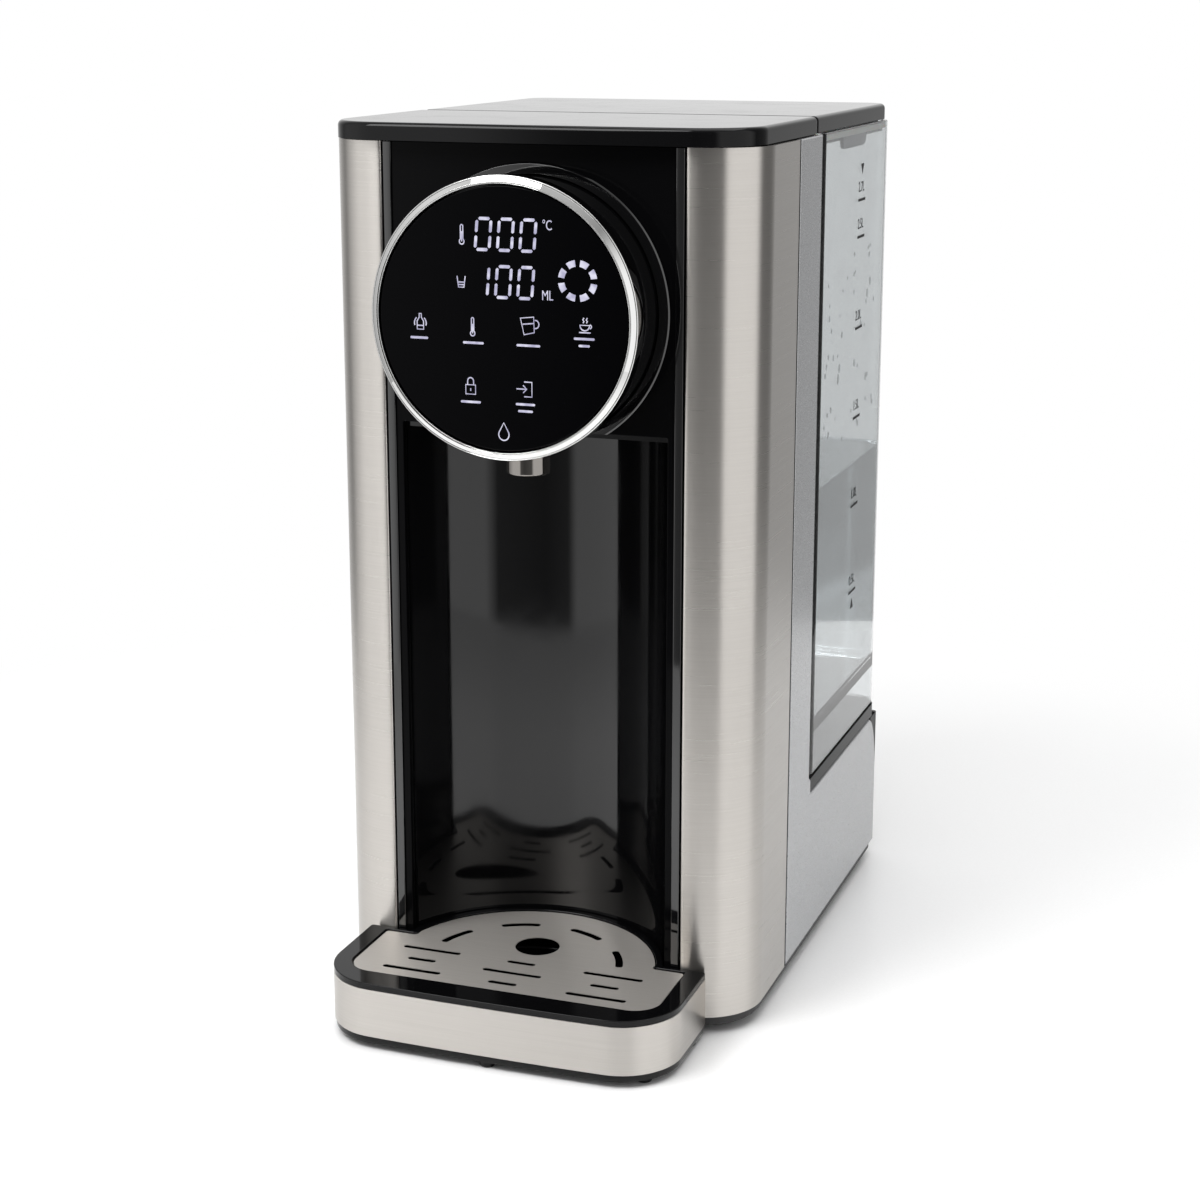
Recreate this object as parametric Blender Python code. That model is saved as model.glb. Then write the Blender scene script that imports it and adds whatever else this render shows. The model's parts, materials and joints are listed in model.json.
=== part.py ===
"""Countertop hot-water dispenser as an assembly of separate pieces.

Metres, +Z up, front towards -Y. The origin is the centre of the footprint, on the surface
that the dispenser stands on.
"""
import math

import bmesh
import bpy
from mathutils import Matrix, Vector

# ---------------------------------------------------------------- driving dimensions
BODY_HALF = 0.0755
BODY_FRONT = -0.0715
BODY_REAR = 0.1195
TOP_Z = 0.3050
COVER_Z = 0.2992
GAP = 0.0003
FIT = 0.0004

PAN_BOTTOM = 0.0033
PAN_TOP = 0.0063
SHELL_BOTTOM = PAN_TOP + GAP
SHELL_TOP = COVER_Z - 0.0004

COLUMN_INNER = 0.0524
COLUMN_RADIUS = 0.0214
COLUMN_REAR = -0.0195
SHEET = 0.0010

PANEL_FRONT = -0.0705
PANEL_REAR = -0.0680
PANEL_HALF = 0.0519
PANEL_RAIL = 0.0491

NICHE_Y = -0.0842
NICHE_RADIUS = 0.0487
NICHE_WALL = 0.0020
NICHE_MOUTH = 0.0466
NICHE_TOP = 0.2060

HEAD_Z = 0.2456
HEAD_RADIUS = 0.0434
HEAD_REAR = 0.0610
HEAD_FRONT = 0.0930
BEZEL_RADIUS = 0.0452
GLASS_RADIUS = 0.0420
COLLAR_RADIUS = 0.0475
NOZZLE_Y = -0.0745
NOZZLE_Z = 0.1923
NOZZLE_FLANGE = 0.2060
NOZZLE_RADIUS = 0.0073

SIDE_FRONT = -0.0186
SIDE_REAR = 0.1172
SIDE_WINDOW = 0.0095
SIDE_SKIN = 0.0020
CORNER_REACH = 0.0120
CORNER_RISE = 0.0260
BASE_TOP = 0.0612

FRAME_HALF = 0.0729
FRAME_WALL = 0.0018
FRAME_REAR = 0.0072

DECK_BOTTOM = 0.0616
DECK_TOP = 0.0672

TANK_HALF = 0.0752
TANK_FRONT = 0.0100
TANK_REAR = 0.1180
TANK_WALL = 0.0022
TANK_BOTTOM = 0.0678
TANK_TOP = 0.2990
FLOOR_UNDER = 0.0830
FLOOR_TOP = 0.0860
VALVE_Y = 0.0640

TRAY_HALF = 0.0620
TRAY_FRONT = -0.1180
TRAY_BOW = 0.0015
TRAY_CORNER = 0.0200
TRAY_SHOULDER = -0.0720
TONGUE_HALF = 0.0462
TONGUE_RADIUS = 0.0482
GRID_HALF = 0.0550
GRID_FRONT = -0.1085
GRID_CORNER = 0.0090
GRID_SHOULDER = -0.0742
GRID_TONGUE_HALF = 0.0435
GRID_RADIUS = 0.0455
GRID_TOP = 0.0234
GRID_SHEET = 0.0010
BAND_BOTTOM = 0.0048
BAND_TOP = 0.0218

BARB = 0.0034
BORE = 0.0020
HOSE_IN = 0.0043
HOSE_OUT = 0.0060

CRADLE_HALF = 0.0164

HEATER_X = -0.035
HEATER_Y = -0.013
PUMP_X = -0.029
PUMP_Y = VALVE_Y
PUMP_Z = 0.030
GLAND_X = 0.045
GLAND_Z = 0.020

SCREW_SPOTS = ((-0.0640, -0.0350), (0.0640, -0.0350), (-0.0640, 0.1080), (0.0640, 0.1080))
FOOT_SPOTS = {"foot_front_left": (-0.056, -0.052), "foot_front_right": (0.056, -0.052),
              "foot_rear_left": (-0.056, 0.096), "foot_rear_right": (0.056, 0.096)}
NUB_SPOTS = ((0, -0.1155), (-0.0525, -0.1085), (0.0525, -0.1085), (-0.0580, -0.0785), (0.0580, -0.0785))

# a ledge drops by this much over its width, so that a loft's outlines stay apart
LEDGE = 0.00005

UPRIGHT = Matrix.Identity(4)
FACING_FRONT = Matrix.Rotation(math.radians(90), 4, "X")
FACING_REAR = Matrix.Rotation(math.radians(-90), 4, "X")
FACING_RIGHT = Matrix.Rotation(math.radians(90), 4, "Y")
# drawn in (Y, Z), then stood up so that the drawing's first axis lies along world Y
ON_THE_SIDE = Matrix(((0, 0, 1, 0), (1, 0, 0, 0), (0, 1, 0, 0), (0, 0, 0, 1)))


# ---------------------------------------------------------------- scene and materials
def clear_scene():
    """Starts from an empty scene."""
    for item in list(bpy.data.objects):
        bpy.data.objects.remove(item, do_unlink=True)


def finish(name, colour, roughness, metallic=0.0, transmission=0.0):
    """A Principled material in one plain colour."""
    material = bpy.data.materials.new(name)
    material.use_nodes = True
    shader = material.node_tree.nodes["Principled BSDF"]
    shader.inputs["Base Color"].default_value = (*colour, 1.0)
    shader.inputs["Roughness"].default_value = roughness
    shader.inputs["Metallic"].default_value = metallic
    shader.inputs["Transmission Weight"].default_value = transmission
    return material


clear_scene()
STEEL = finish("brushed_stainless", (0.52, 0.50, 0.48), 0.32, 1.0)
CHROME = finish("polished_chrome", (0.80, 0.80, 0.80), 0.08, 1.0)
GLOSS = finish("gloss_black_abs", (0.008, 0.008, 0.009), 0.08)
BLACK = finish("black_abs", (0.02, 0.02, 0.02), 0.45)
SILVER = finish("silver_lacquered_abs", (0.45, 0.45, 0.45), 0.35, 0.3)
CLEAR = finish("clear_tritan", (0.93, 0.95, 0.96), 0.06, 0.0, 0.9)
RUBBER = finish("black_rubber", (0.02, 0.02, 0.02), 0.75)
SILICONE = finish("white_silicone", (0.75, 0.74, 0.70), 0.55)
BOARD = finish("green_circuit_board", (0.03, 0.16, 0.06), 0.45)
HEATER_STEEL = finish("heater_steel", (0.45, 0.43, 0.40), 0.40, 1.0)
WHITE = finish("white_nylon", (0.80, 0.79, 0.75), 0.50)
ZINC = finish("zinc_plated_steel", (0.55, 0.55, 0.52), 0.35, 1.0)


# ---------------------------------------------------------------- outlines
def arc(centre, radius, start, end, steps):
    """Points on a circle from one angle to another, in degrees, both ends included."""
    angles = [math.radians(start + (end - start) * i / steps) for i in range(steps + 1)]
    return [(centre[0] + radius * math.cos(a), centre[1] + radius * math.sin(a)) for a in angles]


def mirrored(points):
    """The points reflected left to right, in reverse order."""
    return [(-x, y) for x, y in reversed(points)]


def rounded_outline(half, front, rear, front_radius, rear_radius, inset=0.0, bow=0.0, steps=6):
    """A closed plan outline, symmetric left to right, whose front edge may bow forwards."""
    tight = 0.0003
    half, front, rear = half - inset, front + inset, rear - inset
    near, far = max(front_radius - inset, tight), max(rear_radius - inset, tight)
    right = arc((half - near, front + near), near, 270, 360, steps)
    right += arc((half - far, rear - far), far, 0, 90, steps)
    spans = 4
    edge = [((half - near) * i / spans, front) for i in range(1, spans)]
    points = [(0.0, front)] + edge + right + mirrored(edge + right)
    limit = front + near
    return [(x, y - bow * (1 - (x / half) ** 2) if y < limit else y) for x, y in points]


def tray_outline(half, front, corner, shoulder, tongue, radius, inset=0.0, back=None, bow=0.0,
                 flat=False):
    """The drip tray's plan: a rounded front box whose round tongue reaches into the niche.

    The shoulder and the tongue may have an inset of their own. With flat set, the tongue's points
    lie along the shoulder, so both plans match point by point.
    """
    back = inset if back is None else back
    half, front, corner = half - inset, front + inset, corner - inset
    shoulder, tongue, radius = shoulder - back, tongue - back, radius - back
    start = math.degrees(math.acos(tongue / radius))
    spans = 3
    right = [((half - corner) * i / spans, front) for i in range(1, spans)]
    right += arc((half - corner, front + corner), corner, 270, 360, 6)
    right += [(half, shoulder), (tongue, shoulder)]
    bend = arc((0.0, NICHE_Y), radius, start, 90, 9)[:-1]
    crown = (0.0, NICHE_Y + radius)
    if flat:
        narrowed = 0.99
        bend = [(x * narrowed, shoulder) for x, _ in bend]
        crown = (0.0, shoulder)
    right += bend
    points = [(0.0, front)] + right + [crown] + mirrored(right)
    limit = front + corner
    return [(x, y - bow * (1 - (x / half) ** 2) if y < limit else y) for x, y in points]


def deck_outline(inset=0.0):
    """The tank deck's plan: full width behind the side panels' window corners."""
    front, notch, step = 0.0078 + inset, 0.0731 - inset, 0.0125 + inset
    half, rear, radius = TANK_HALF - inset, TANK_REAR - inset, 0.008 - inset
    right = [(notch, front), (notch, step), (half, step)]
    right += arc((half - radius, rear - radius), radius, 0, 90, 6)
    return right + mirrored(right)


def stadium(centre, length, width, steps=6):
    """A slot outline with round ends, its length along X."""
    reach = (length - width) / 2
    right = arc((centre[0] + reach, centre[1]), width / 2, -90, 90, steps)
    return right + arc((centre[0] - reach, centre[1]), width / 2, 90, 270, steps)


def arc_slot(centre, radius, middle, span, width, steps=4):
    """A curved slot outline with round ends, along an arc about the centre."""
    low, high = middle - span / 2, middle + span / 2
    end = arc(centre, radius, high, high, 1)[0]
    start = arc(centre, radius, low, low, 1)[0]
    outer = arc(centre, radius + width / 2, low, high, steps)
    inner = arc(centre, radius - width / 2, high, low, steps)
    cap_high = arc(end, width / 2, high, high + 180, 3)[1:-1]
    cap_low = arc(start, width / 2, low + 180, low + 360, 3)[1:-1]
    return outer + cap_high + inner + cap_low


# ---------------------------------------------------------------- mesh makers
def loft(levels):
    """A closed body through plan outlines at rising or falling heights, both ends capped."""
    mesh = bmesh.new()
    rings = [[mesh.verts.new((x, y, z)) for x, y in outline] for outline, z in levels]
    for lower, upper in zip(rings, rings[1:]):
        for i, vertex in enumerate(lower):
            j = (i + 1) % len(lower)
            mesh.faces.new((vertex, lower[j], upper[j], upper[i]))
    mesh.faces.new(list(reversed(rings[0])))
    mesh.faces.new(rings[-1])
    bmesh.ops.recalc_face_normals(mesh, faces=mesh.faces)
    return mesh


def prism(outline, bottom, top):
    """An outline raised from one height to another."""
    return loft([(outline, bottom), (outline, top)])


def box(low, high):
    """A cuboid between two corners."""
    outline = [(low[0], low[1]), (high[0], low[1]), (high[0], high[1]), (low[0], high[1])]
    return prism(outline, low[2], high[2])


def turned(profile, steps=24, ring=False):
    """A body turned about Z from (radius, height) points; a ring's profile closes on itself."""
    mesh = bmesh.new()
    points = [mesh.verts.new((radius, 0.0, height)) for radius, height in profile]
    edges = [mesh.edges.new(pair) for pair in zip(points, points[1:])]
    if ring:
        edges.append(mesh.edges.new((points[-1], points[0])))
    bmesh.ops.spin(mesh, geom=points + edges, cent=(0, 0, 0), axis=(0, 0, 1), dvec=(0, 0, 0),
                   angle=math.tau, steps=steps, use_merge=True, use_duplicate=False)
    bmesh.ops.remove_doubles(mesh, verts=mesh.verts, dist=1e-6)
    bmesh.ops.recalc_face_normals(mesh, faces=mesh.faces)
    return mesh


def cylinder(radius, bottom, top, steps=16):
    """A round bar about Z."""
    return turned([(0, bottom), (radius, bottom), (radius, top), (0, top)], steps)


def smooth_path(points, per_span=3):
    """A Catmull-Rom curve through the points, straight out of both ends."""
    knots = [Vector(p) for p in points]
    knots = [knots[0] * 2 - knots[1]] + knots + [knots[-1] * 2 - knots[-2]]
    path = []
    for a, b, c, d in zip(knots, knots[1:], knots[2:], knots[3:]):
        for i in range(per_span):
            t = i / per_span
            path.append(0.5 * (2 * b + (c - a) * t + (2 * a - 5 * b + 4 * c - d) * t * t
                               + (3 * b - a - 3 * c + d) * t ** 3))
    return path + [knots[-2]]


def hose(points, sides=6):
    """A hollow hose along a smooth curve through the points."""
    path = smooth_path(points)
    mesh = bmesh.new()
    normal = Vector((0.31, 0.17, 0.93))
    rings = []
    for i, centre in enumerate(path):
        along = (path[min(i + 1, len(path) - 1)] - path[max(i - 1, 0)]).normalized()
        normal = (normal - along * normal.dot(along)).normalized()
        across = along.cross(normal)
        pair = []
        for radius in (HOSE_OUT, HOSE_IN):
            angles = [math.tau * k / sides for k in range(sides)]
            pair.append([mesh.verts.new(centre + radius * (normal * math.cos(a) + across * math.sin(a)))
                         for a in angles])
        rings.append(pair)
    for k in range(sides):
        n = (k + 1) % sides
        for (outer, inner), (next_outer, next_inner) in zip(rings, rings[1:]):
            mesh.faces.new((outer[k], outer[n], next_outer[n], next_outer[k]))
            mesh.faces.new((inner[n], inner[k], next_inner[k], next_inner[n]))
        for outer, inner in (rings[0], rings[-1]):
            mesh.faces.new((outer[n], outer[k], inner[k], inner[n]))
    bmesh.ops.recalc_face_normals(mesh, faces=mesh.faces)
    return mesh


def coil(radius, wire, bottom, top, turns, sides=4, per_turn=12):
    """A closed helical wire about Z, standing between two heights."""
    mesh = bmesh.new()
    steps = int(turns * per_turn)
    rings = []
    for i in range(steps + 1):
        angle = math.tau * turns * i / steps
        height = bottom + wire + (top - bottom - 2 * wire) * i / steps
        out = Vector((math.cos(angle), math.sin(angle), 0.0))
        centre = out * radius + Vector((0, 0, height))
        rings.append([mesh.verts.new(centre + wire * (out * math.cos(a) + Vector((0, 0, math.sin(a)))))
                      for a in [math.tau * k / sides for k in range(sides)]])
    for ring, following in zip(rings, rings[1:]):
        for k in range(sides):
            n = (k + 1) % sides
            mesh.faces.new((ring[k], ring[n], following[n], following[k]))
    mesh.faces.new(rings[0])
    mesh.faces.new(rings[-1])
    bmesh.ops.recalc_face_normals(mesh, faces=mesh.faces)
    return mesh


def moved(mesh, place=(0, 0, 0), turn=UPRIGHT):
    """The mesh turned about its own origin and then moved."""
    bmesh.ops.transform(mesh, matrix=Matrix.Translation(place) @ turn, verts=mesh.verts)
    return mesh


# ---------------------------------------------------------------- objects and modifiers
def link(name, mesh, material=None):
    """An object from a mesh, smooth where it is round when it has a material."""
    data = bpy.data.meshes.new(name)
    mesh.to_mesh(data)
    mesh.free()
    item = bpy.data.objects.new(name, data)
    bpy.context.scene.collection.objects.link(item)
    if material:
        data.materials.append(material)
        data.shade_smooth()
        data.set_sharp_from_angle(angle=math.radians(32))
    return item


def piece(name, mesh, material, place=(0, 0, 0), turn=UPRIGHT, parent=None):
    """A named piece whose mesh is drawn about its own origin, then placed and turned."""
    item = link(name, mesh, material)
    item.matrix_world = Matrix.Translation(place) @ turn
    if parent:
        item.parent = parent
        item.matrix_parent_inverse = Matrix.Translation(parent.location).inverted()
    return item


def joint_frame(name, place=(0, 0, 0)):
    """An empty on a joint's axis, which its moving pieces hang from."""
    frame = bpy.data.objects.new(name, None)
    frame.location = place
    bpy.context.scene.collection.objects.link(frame)
    return frame


def combine(item, mesh, operation, place=(0, 0, 0), turn=UPRIGHT):
    """Cuts or joins a hidden helper mesh, given in world coordinates after place and turn."""
    helper = link(f"helper_{item.name}_{len(item.modifiers)}", moved(mesh, place, turn))
    helper.hide_render = True
    helper.display_type = "WIRE"
    change = item.modifiers.new("shape", "BOOLEAN")
    change.operation = operation
    change.solver = "EXACT"
    change.object = helper


def cut(item, mesh, place=(0, 0, 0), turn=UPRIGHT):
    """Takes the mesh away from the piece."""
    combine(item, mesh, "DIFFERENCE", place, turn)


def join(item, mesh, place=(0, 0, 0), turn=UPRIGHT):
    """Adds the mesh to the piece."""
    combine(item, mesh, "UNION", place, turn)


def soften(item, width, segments=1):
    """Rounds the sharp edges of a piece."""
    bevel = item.modifiers.new("soft_edges", "BEVEL")
    bevel.width = width
    bevel.segments = segments
    bevel.limit_method = "ANGLE"
    bevel.angle_limit = math.radians(50)


# ---------------------------------------------------------------- base and frame
def build_base():
    """The bottom pan: a floor with air slots and a low wall that locates the casing."""
    chamfered, full, wall_outside, wall_inside = [
        rounded_outline(0.0747, -0.0707, 0.1187, 0.0200, 0.0060, inset)
        for inset in (0.0008, 0.0, 0.0030, 0.0048)]
    pan = piece("base_pan", loft([
        (chamfered, PAN_BOTTOM), (full, PAN_BOTTOM + 0.0008), (full, PAN_TOP),
        (wall_outside, PAN_TOP + 2 * LEDGE), (wall_outside, 0.0120), (wall_inside, 0.0120),
        (wall_inside, PAN_TOP - 0.0004)]), BLACK)
    cut(pan, cylinder(NICHE_RADIUS + NICHE_WALL + 0.0010, PAN_TOP, 0.0140, 36), (0, NICHE_Y, 0))
    for x, y in SCREW_SPOTS:
        cut(pan, cylinder(0.0019, 0.0, 0.0200, 8), (x, y, 0))
    for row in range(4):
        slot = stadium((0, 0.086 + 0.0060 * row), 0.050, 0.0026, 3)
        cut(pan, prism(slot, 0.0, 0.0080))


def build_feet():
    """Four rubber feet, and the four screws that hold the pan."""
    foot = [(0, 0), (0.0062, 0), (0.0070, 0.0008), (0.0070, 0.0030), (0, 0.0030)]
    for name, (x, y) in FOOT_SPOTS.items():
        piece(name, turned(foot, 16), RUBBER, (x, y, 0))
    screw = [(0, 0.0014), (0.0026, 0.0014), (0.0032, 0.0022), (0.0032, 0.0030), (0.0015, 0.0030),
             (0.0015, 0.0200), (0, 0.0215)]
    for number, (x, y) in enumerate(SCREW_SPOTS, 1):
        item = piece(f"base_screw_{number}", turned(screw, 8), ZINC, (x, y, 0))
        cut(item, box((-0.0020, -0.00035, 0.0005), (0.0020, 0.00035, 0.0022)), (x, y, 0))


def build_frame():
    """The moulded frame behind the columns: a cross wall with a flange down each side."""
    inner = FRAME_HALF - FRAME_WALL
    front, rear = -0.0500, FRAME_REAR
    outline = [(-FRAME_HALF, front), (-inner, front), (-inner, rear - FRAME_WALL),
               (inner, rear - FRAME_WALL), (inner, front), (FRAME_HALF, front), (FRAME_HALF, rear),
               (-FRAME_HALF, rear)]
    frame = piece("inner_frame", prism(outline, 0.0130, SHELL_TOP), BLACK)
    cut(frame, box((-0.0600, 0.0, 0.0), (0.0600, 0.0200, 0.0600)))
    for x, y in SCREW_SPOTS[:2]:
        outwards = math.copysign(0.0028, x)
        join(frame, box((-0.0050, -0.0050, 0.0135), (0.0050, 0.0050, 0.0400)), (x + outwards, y, 0))
        cut(frame, cylinder(0.0019, 0.0, 0.0240, 12), (x, y, 0))


def build_columns():
    """Folded stainless sheets round the front corners."""
    lip = -0.0688
    outer = [(COLUMN_INNER, lip), (COLUMN_INNER, BODY_FRONT)]
    centre = (BODY_HALF - COLUMN_RADIUS, BODY_FRONT + COLUMN_RADIUS)
    outer += arc(centre, COLUMN_RADIUS, 270, 360, 16)
    outer += [(BODY_HALF, COLUMN_REAR), (FRAME_HALF + 0.0005, COLUMN_REAR)]
    inner = [(FRAME_HALF + 0.0005, COLUMN_REAR - SHEET), (BODY_HALF - SHEET, COLUMN_REAR - SHEET)]
    inner += arc(centre, COLUMN_RADIUS - SHEET, 360, 270, 16)
    inner += [(COLUMN_INNER + SHEET, BODY_FRONT + SHEET), (COLUMN_INNER + SHEET, lip)]
    right = outer + inner
    for name, outline in (("front_column_right", right), ("front_column_left", mirrored(right))):
        piece(name, prism(outline, SHELL_BOTTOM, SHELL_TOP), STEEL)


def build_side_panels():
    """Silver side panels: a strip beside the tank's window and a skirt under it."""
    skirt = [(SIDE_FRONT, SHELL_BOTTOM), (SIDE_REAR, SHELL_BOTTOM)]
    skirt += [(SIDE_REAR - CORNER_REACH * (1 - math.cos(a)), BASE_TOP - CORNER_RISE * (1 - math.sin(a)))
              for a in [math.radians(9 * i) for i in range(11)]]
    skirt += [(0.0120, BASE_TOP), (0.0120, DECK_TOP - 0.0008), (0.0112, DECK_TOP),
              (SIDE_WINDOW, DECK_TOP), (SIDE_WINDOW, SHELL_TOP), (SIDE_FRONT, SHELL_TOP)]
    for name, side in (("side_panel_right", 1), ("side_panel_left", -1)):
        low, high = sorted((side * (BODY_HALF - SIDE_SKIN), side * BODY_HALF))
        panel = piece(name, moved(prism(skirt, low, high), turn=ON_THE_SIDE), SILVER)
        soften(panel, 0.0004)


def build_rear_cover():
    """The black rear wall of the base, whose ears fill the side panels' round corners."""
    wall = rounded_outline(BODY_HALF - 0.0003, SIDE_REAR + GAP, BODY_REAR, 0.0003, 0.0014, steps=3)
    cover = piece("rear_cover", prism(wall, SHELL_BOTTOM, BASE_TOP), BLACK)
    reach, rise, lap = CORNER_REACH + FIT, CORNER_RISE + FIT, SIDE_REAR + 0.0010
    centre = (SIDE_REAR - CORNER_REACH, BASE_TOP - CORNER_RISE)
    outline = [(lap, centre[1])]
    outline += [(centre[0] + reach * math.cos(a), centre[1] + rise * math.sin(a))
                for a in [math.radians(12 * i) for i in range(7)]]
    outline += [(outline[-1][0], BASE_TOP - 0.0002), (lap, BASE_TOP - 0.0002)]
    for side in (1, -1):
        low, high = sorted((side * 0.0700, side * (BODY_HALF - 0.0004)))
        join(cover, moved(prism(outline, low, high), turn=ON_THE_SIDE))
    for x, y in SCREW_SPOTS[2:]:
        join(cover, box((-0.0040, -0.0040, 0.0135), (0.0040, 0.0110, 0.0300)), (x, y, 0))
        cut(cover, cylinder(0.0019, 0.0, 0.0240, 12), (x, y, 0))
    cut(cover, cylinder(0.0075, 0.1100, 0.1250, 24), (GLAND_X, 0, GLAND_Z), FACING_REAR)
    for row in range(4):
        slot = stadium((0, 0.026 + 0.0065 * row), 0.044, 0.0026, 4)
        cut(cover, prism(slot, -0.1250, -0.1100), (-0.018, 0, 0), FACING_FRONT)
    gland = [(0.0034, 0.1130), (0.0071, 0.1130), (0.0071, 0.1186), (0.0063, 0.1194), (0.0034, 0.1194)]
    piece("cord_gland", turned(gland, 24, ring=True), RUBBER, (GLAND_X, 0, GLAND_Z), FACING_REAR)


# ---------------------------------------------------------------- front and head
def build_front():
    """The gloss front panel between its rails, and the niche behind its mouth."""
    rail = PANEL_FRONT - 0.0008
    outline = [(-PANEL_HALF, PANEL_REAR), (-PANEL_HALF, rail), (-PANEL_RAIL, rail),
               (-PANEL_RAIL, PANEL_FRONT), (PANEL_RAIL, PANEL_FRONT), (PANEL_RAIL, rail),
               (PANEL_HALF, rail), (PANEL_HALF, PANEL_REAR)]
    panel = piece("front_panel", prism(outline, SHELL_BOTTOM, SHELL_TOP), GLOSS)
    cut(panel, box((-NICHE_MOUTH, -0.0800, -0.0100), (NICHE_MOUTH, -0.0600, NICHE_TOP)))
    cut(panel, cylinder(HEAD_RADIUS + FIT, 0.0600, 0.0800, 48), (0, 0, HEAD_Z), FACING_FRONT)

    lip = PANEL_REAR + FIT - NICHE_Y
    outside = NICHE_RADIUS + NICHE_WALL
    start = math.degrees(math.asin(lip / outside))
    shell = piece("niche_shell", prism(arc((0, NICHE_Y), outside, start, 180 - start, 32),
                                       SHELL_BOTTOM, NICHE_TOP), GLOSS)
    cut(shell, cylinder(NICHE_RADIUS, 0.0, NICHE_TOP - NICHE_WALL, 80), (0, NICHE_Y, 0))
    cut(shell, cylinder(HEAD_RADIUS + FIT, HEAD_REAR - FIT, 0.0800, 64), (0, 0, HEAD_Z), FACING_FRONT)


def build_head():
    """The round head: drum, collar, polished ring, display and nozzle."""
    wall = 0.0022
    axis = (0, 0, HEAD_Z)
    housing = piece("head_housing", turned([
        (0, HEAD_REAR), (HEAD_RADIUS - 0.001, HEAD_REAR), (HEAD_RADIUS, HEAD_REAR + 0.001),
        (HEAD_RADIUS, HEAD_FRONT), (HEAD_RADIUS - wall, HEAD_FRONT),
        (HEAD_RADIUS - wall, HEAD_REAR + wall), (0, HEAD_REAR + wall)], 48), GLOSS, axis, FACING_FRONT)
    cut(housing, cylinder(0.0090, HEAD_REAR - 0.005, HEAD_REAR + 0.006, 20), axis, FACING_FRONT)
    cut(housing, cylinder(NOZZLE_RADIUS + GAP, 0.1900, 0.2100, 24), (0, NOZZLE_Y, 0))
    inner = HEAD_RADIUS + 0.0005
    collar = piece("head_collar", turned([
        (inner, 0.0708), (COLLAR_RADIUS, 0.0708), (COLLAR_RADIUS, 0.0714),
        (COLLAR_RADIUS - 0.0006, 0.0719), (inner, 0.0719)], 40, ring=True), GLOSS, axis, FACING_FRONT)
    cut(collar, box((-0.0350, -0.0750, 0.1900), (0.0350, -0.0650, NICHE_TOP + 0.0002)))
    rim = HEAD_RADIUS + GAP
    bore = GLASS_RADIUS + GAP
    piece("bezel_ring", turned([
        (rim, 0.0905), (BEZEL_RADIUS - 0.0004, 0.0905), (BEZEL_RADIUS, 0.0910), (BEZEL_RADIUS, 0.0959),
        (BEZEL_RADIUS - 0.0010, 0.0973), (BEZEL_RADIUS - 0.0024, 0.0973), (bore, 0.0966),
        (bore, 0.0933), (rim, 0.0933)],
        40, ring=True), CHROME, axis, FACING_FRONT)
    piece("display_glass", turned([
        (0, 0.0936), (GLASS_RADIUS, 0.0936), (GLASS_RADIUS, 0.0961), (GLASS_RADIUS - 0.0005, 0.0966),
        (0, 0.0966)], 40), GLOSS, axis, FACING_FRONT)
    board = HEAD_RADIUS - 0.0030
    piece("display_board", turned([(0, 0.0905), (board, 0.0905), (board, 0.0921), (0, 0.0921)], 32),
          BOARD, axis, FACING_FRONT)
    piece("nozzle", turned([
        (0.0046, NOZZLE_Z), (0.0068, NOZZLE_Z), (NOZZLE_RADIUS, NOZZLE_Z + 0.0006),
        (NOZZLE_RADIUS, NOZZLE_FLANGE), (0.0094, NOZZLE_FLANGE), (0.0094, NOZZLE_FLANGE + 0.0012),
        (BARB, NOZZLE_FLANGE + 0.0012), (BARB, 0.2130),
        (BORE, 0.2130), (BORE, 0.2000), (0.0046, 0.1990)], 20, ring=True), CHROME, (0, NOZZLE_Y, 0))


def tank_plan(inset):
    """The tank's plan, inset all round."""
    return rounded_outline(TANK_HALF, TANK_FRONT, TANK_REAR, 0.006, 0.010, inset)


def build_covers(tank_lid):
    """The fixed top cover over the works, and the tank's own lid behind it."""
    def front_plan(inset):
        return rounded_outline(0.0740, -0.0738, 0.0086, 0.0200, 0.0030, inset, 0.0030)

    def rear_plan(inset):
        return rounded_outline(0.0734, 0.0092, BODY_REAR, 0.0030, 0.0085, inset)

    edges = [(0.0008, COVER_Z), (0.0001, COVER_Z + 0.0008), (0.0, TOP_Z - 0.0018),
             (0.0006, TOP_Z - 0.0006), (0.0020, TOP_Z)]
    piece("top_cover", loft([(front_plan(inset), height) for inset, height in edges]), GLOSS)
    lid = piece("tank_lid", loft([(rear_plan(inset), height) for inset, height in edges]), GLOSS,
                parent=tank_lid)
    outside, inside = tank_plan(TANK_WALL + 0.0014), tank_plan(TANK_WALL + 0.0032)
    join(lid, prism(outside, 0.2950, COVER_Z + 0.0004))
    cut(lid, prism(inside, 0.2900, COVER_Z + 0.0002))
    for side in (1, -1):
        low, high = sorted((side * (TANK_HALF - TANK_WALL - 0.0014), side * 0.0700))
        join(lid, box((low, 0.0450, 0.2915), (high, 0.0850, COVER_Z + 0.0010)))
    gasket = piece("lid_gasket", prism(tank_plan(TANK_WALL + 0.0003), 0.2962, 0.2982), SILICONE,
                   parent=tank_lid)
    cut(gasket, prism(tank_plan(TANK_WALL + 0.0011), 0.2900, 0.3000))


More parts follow.
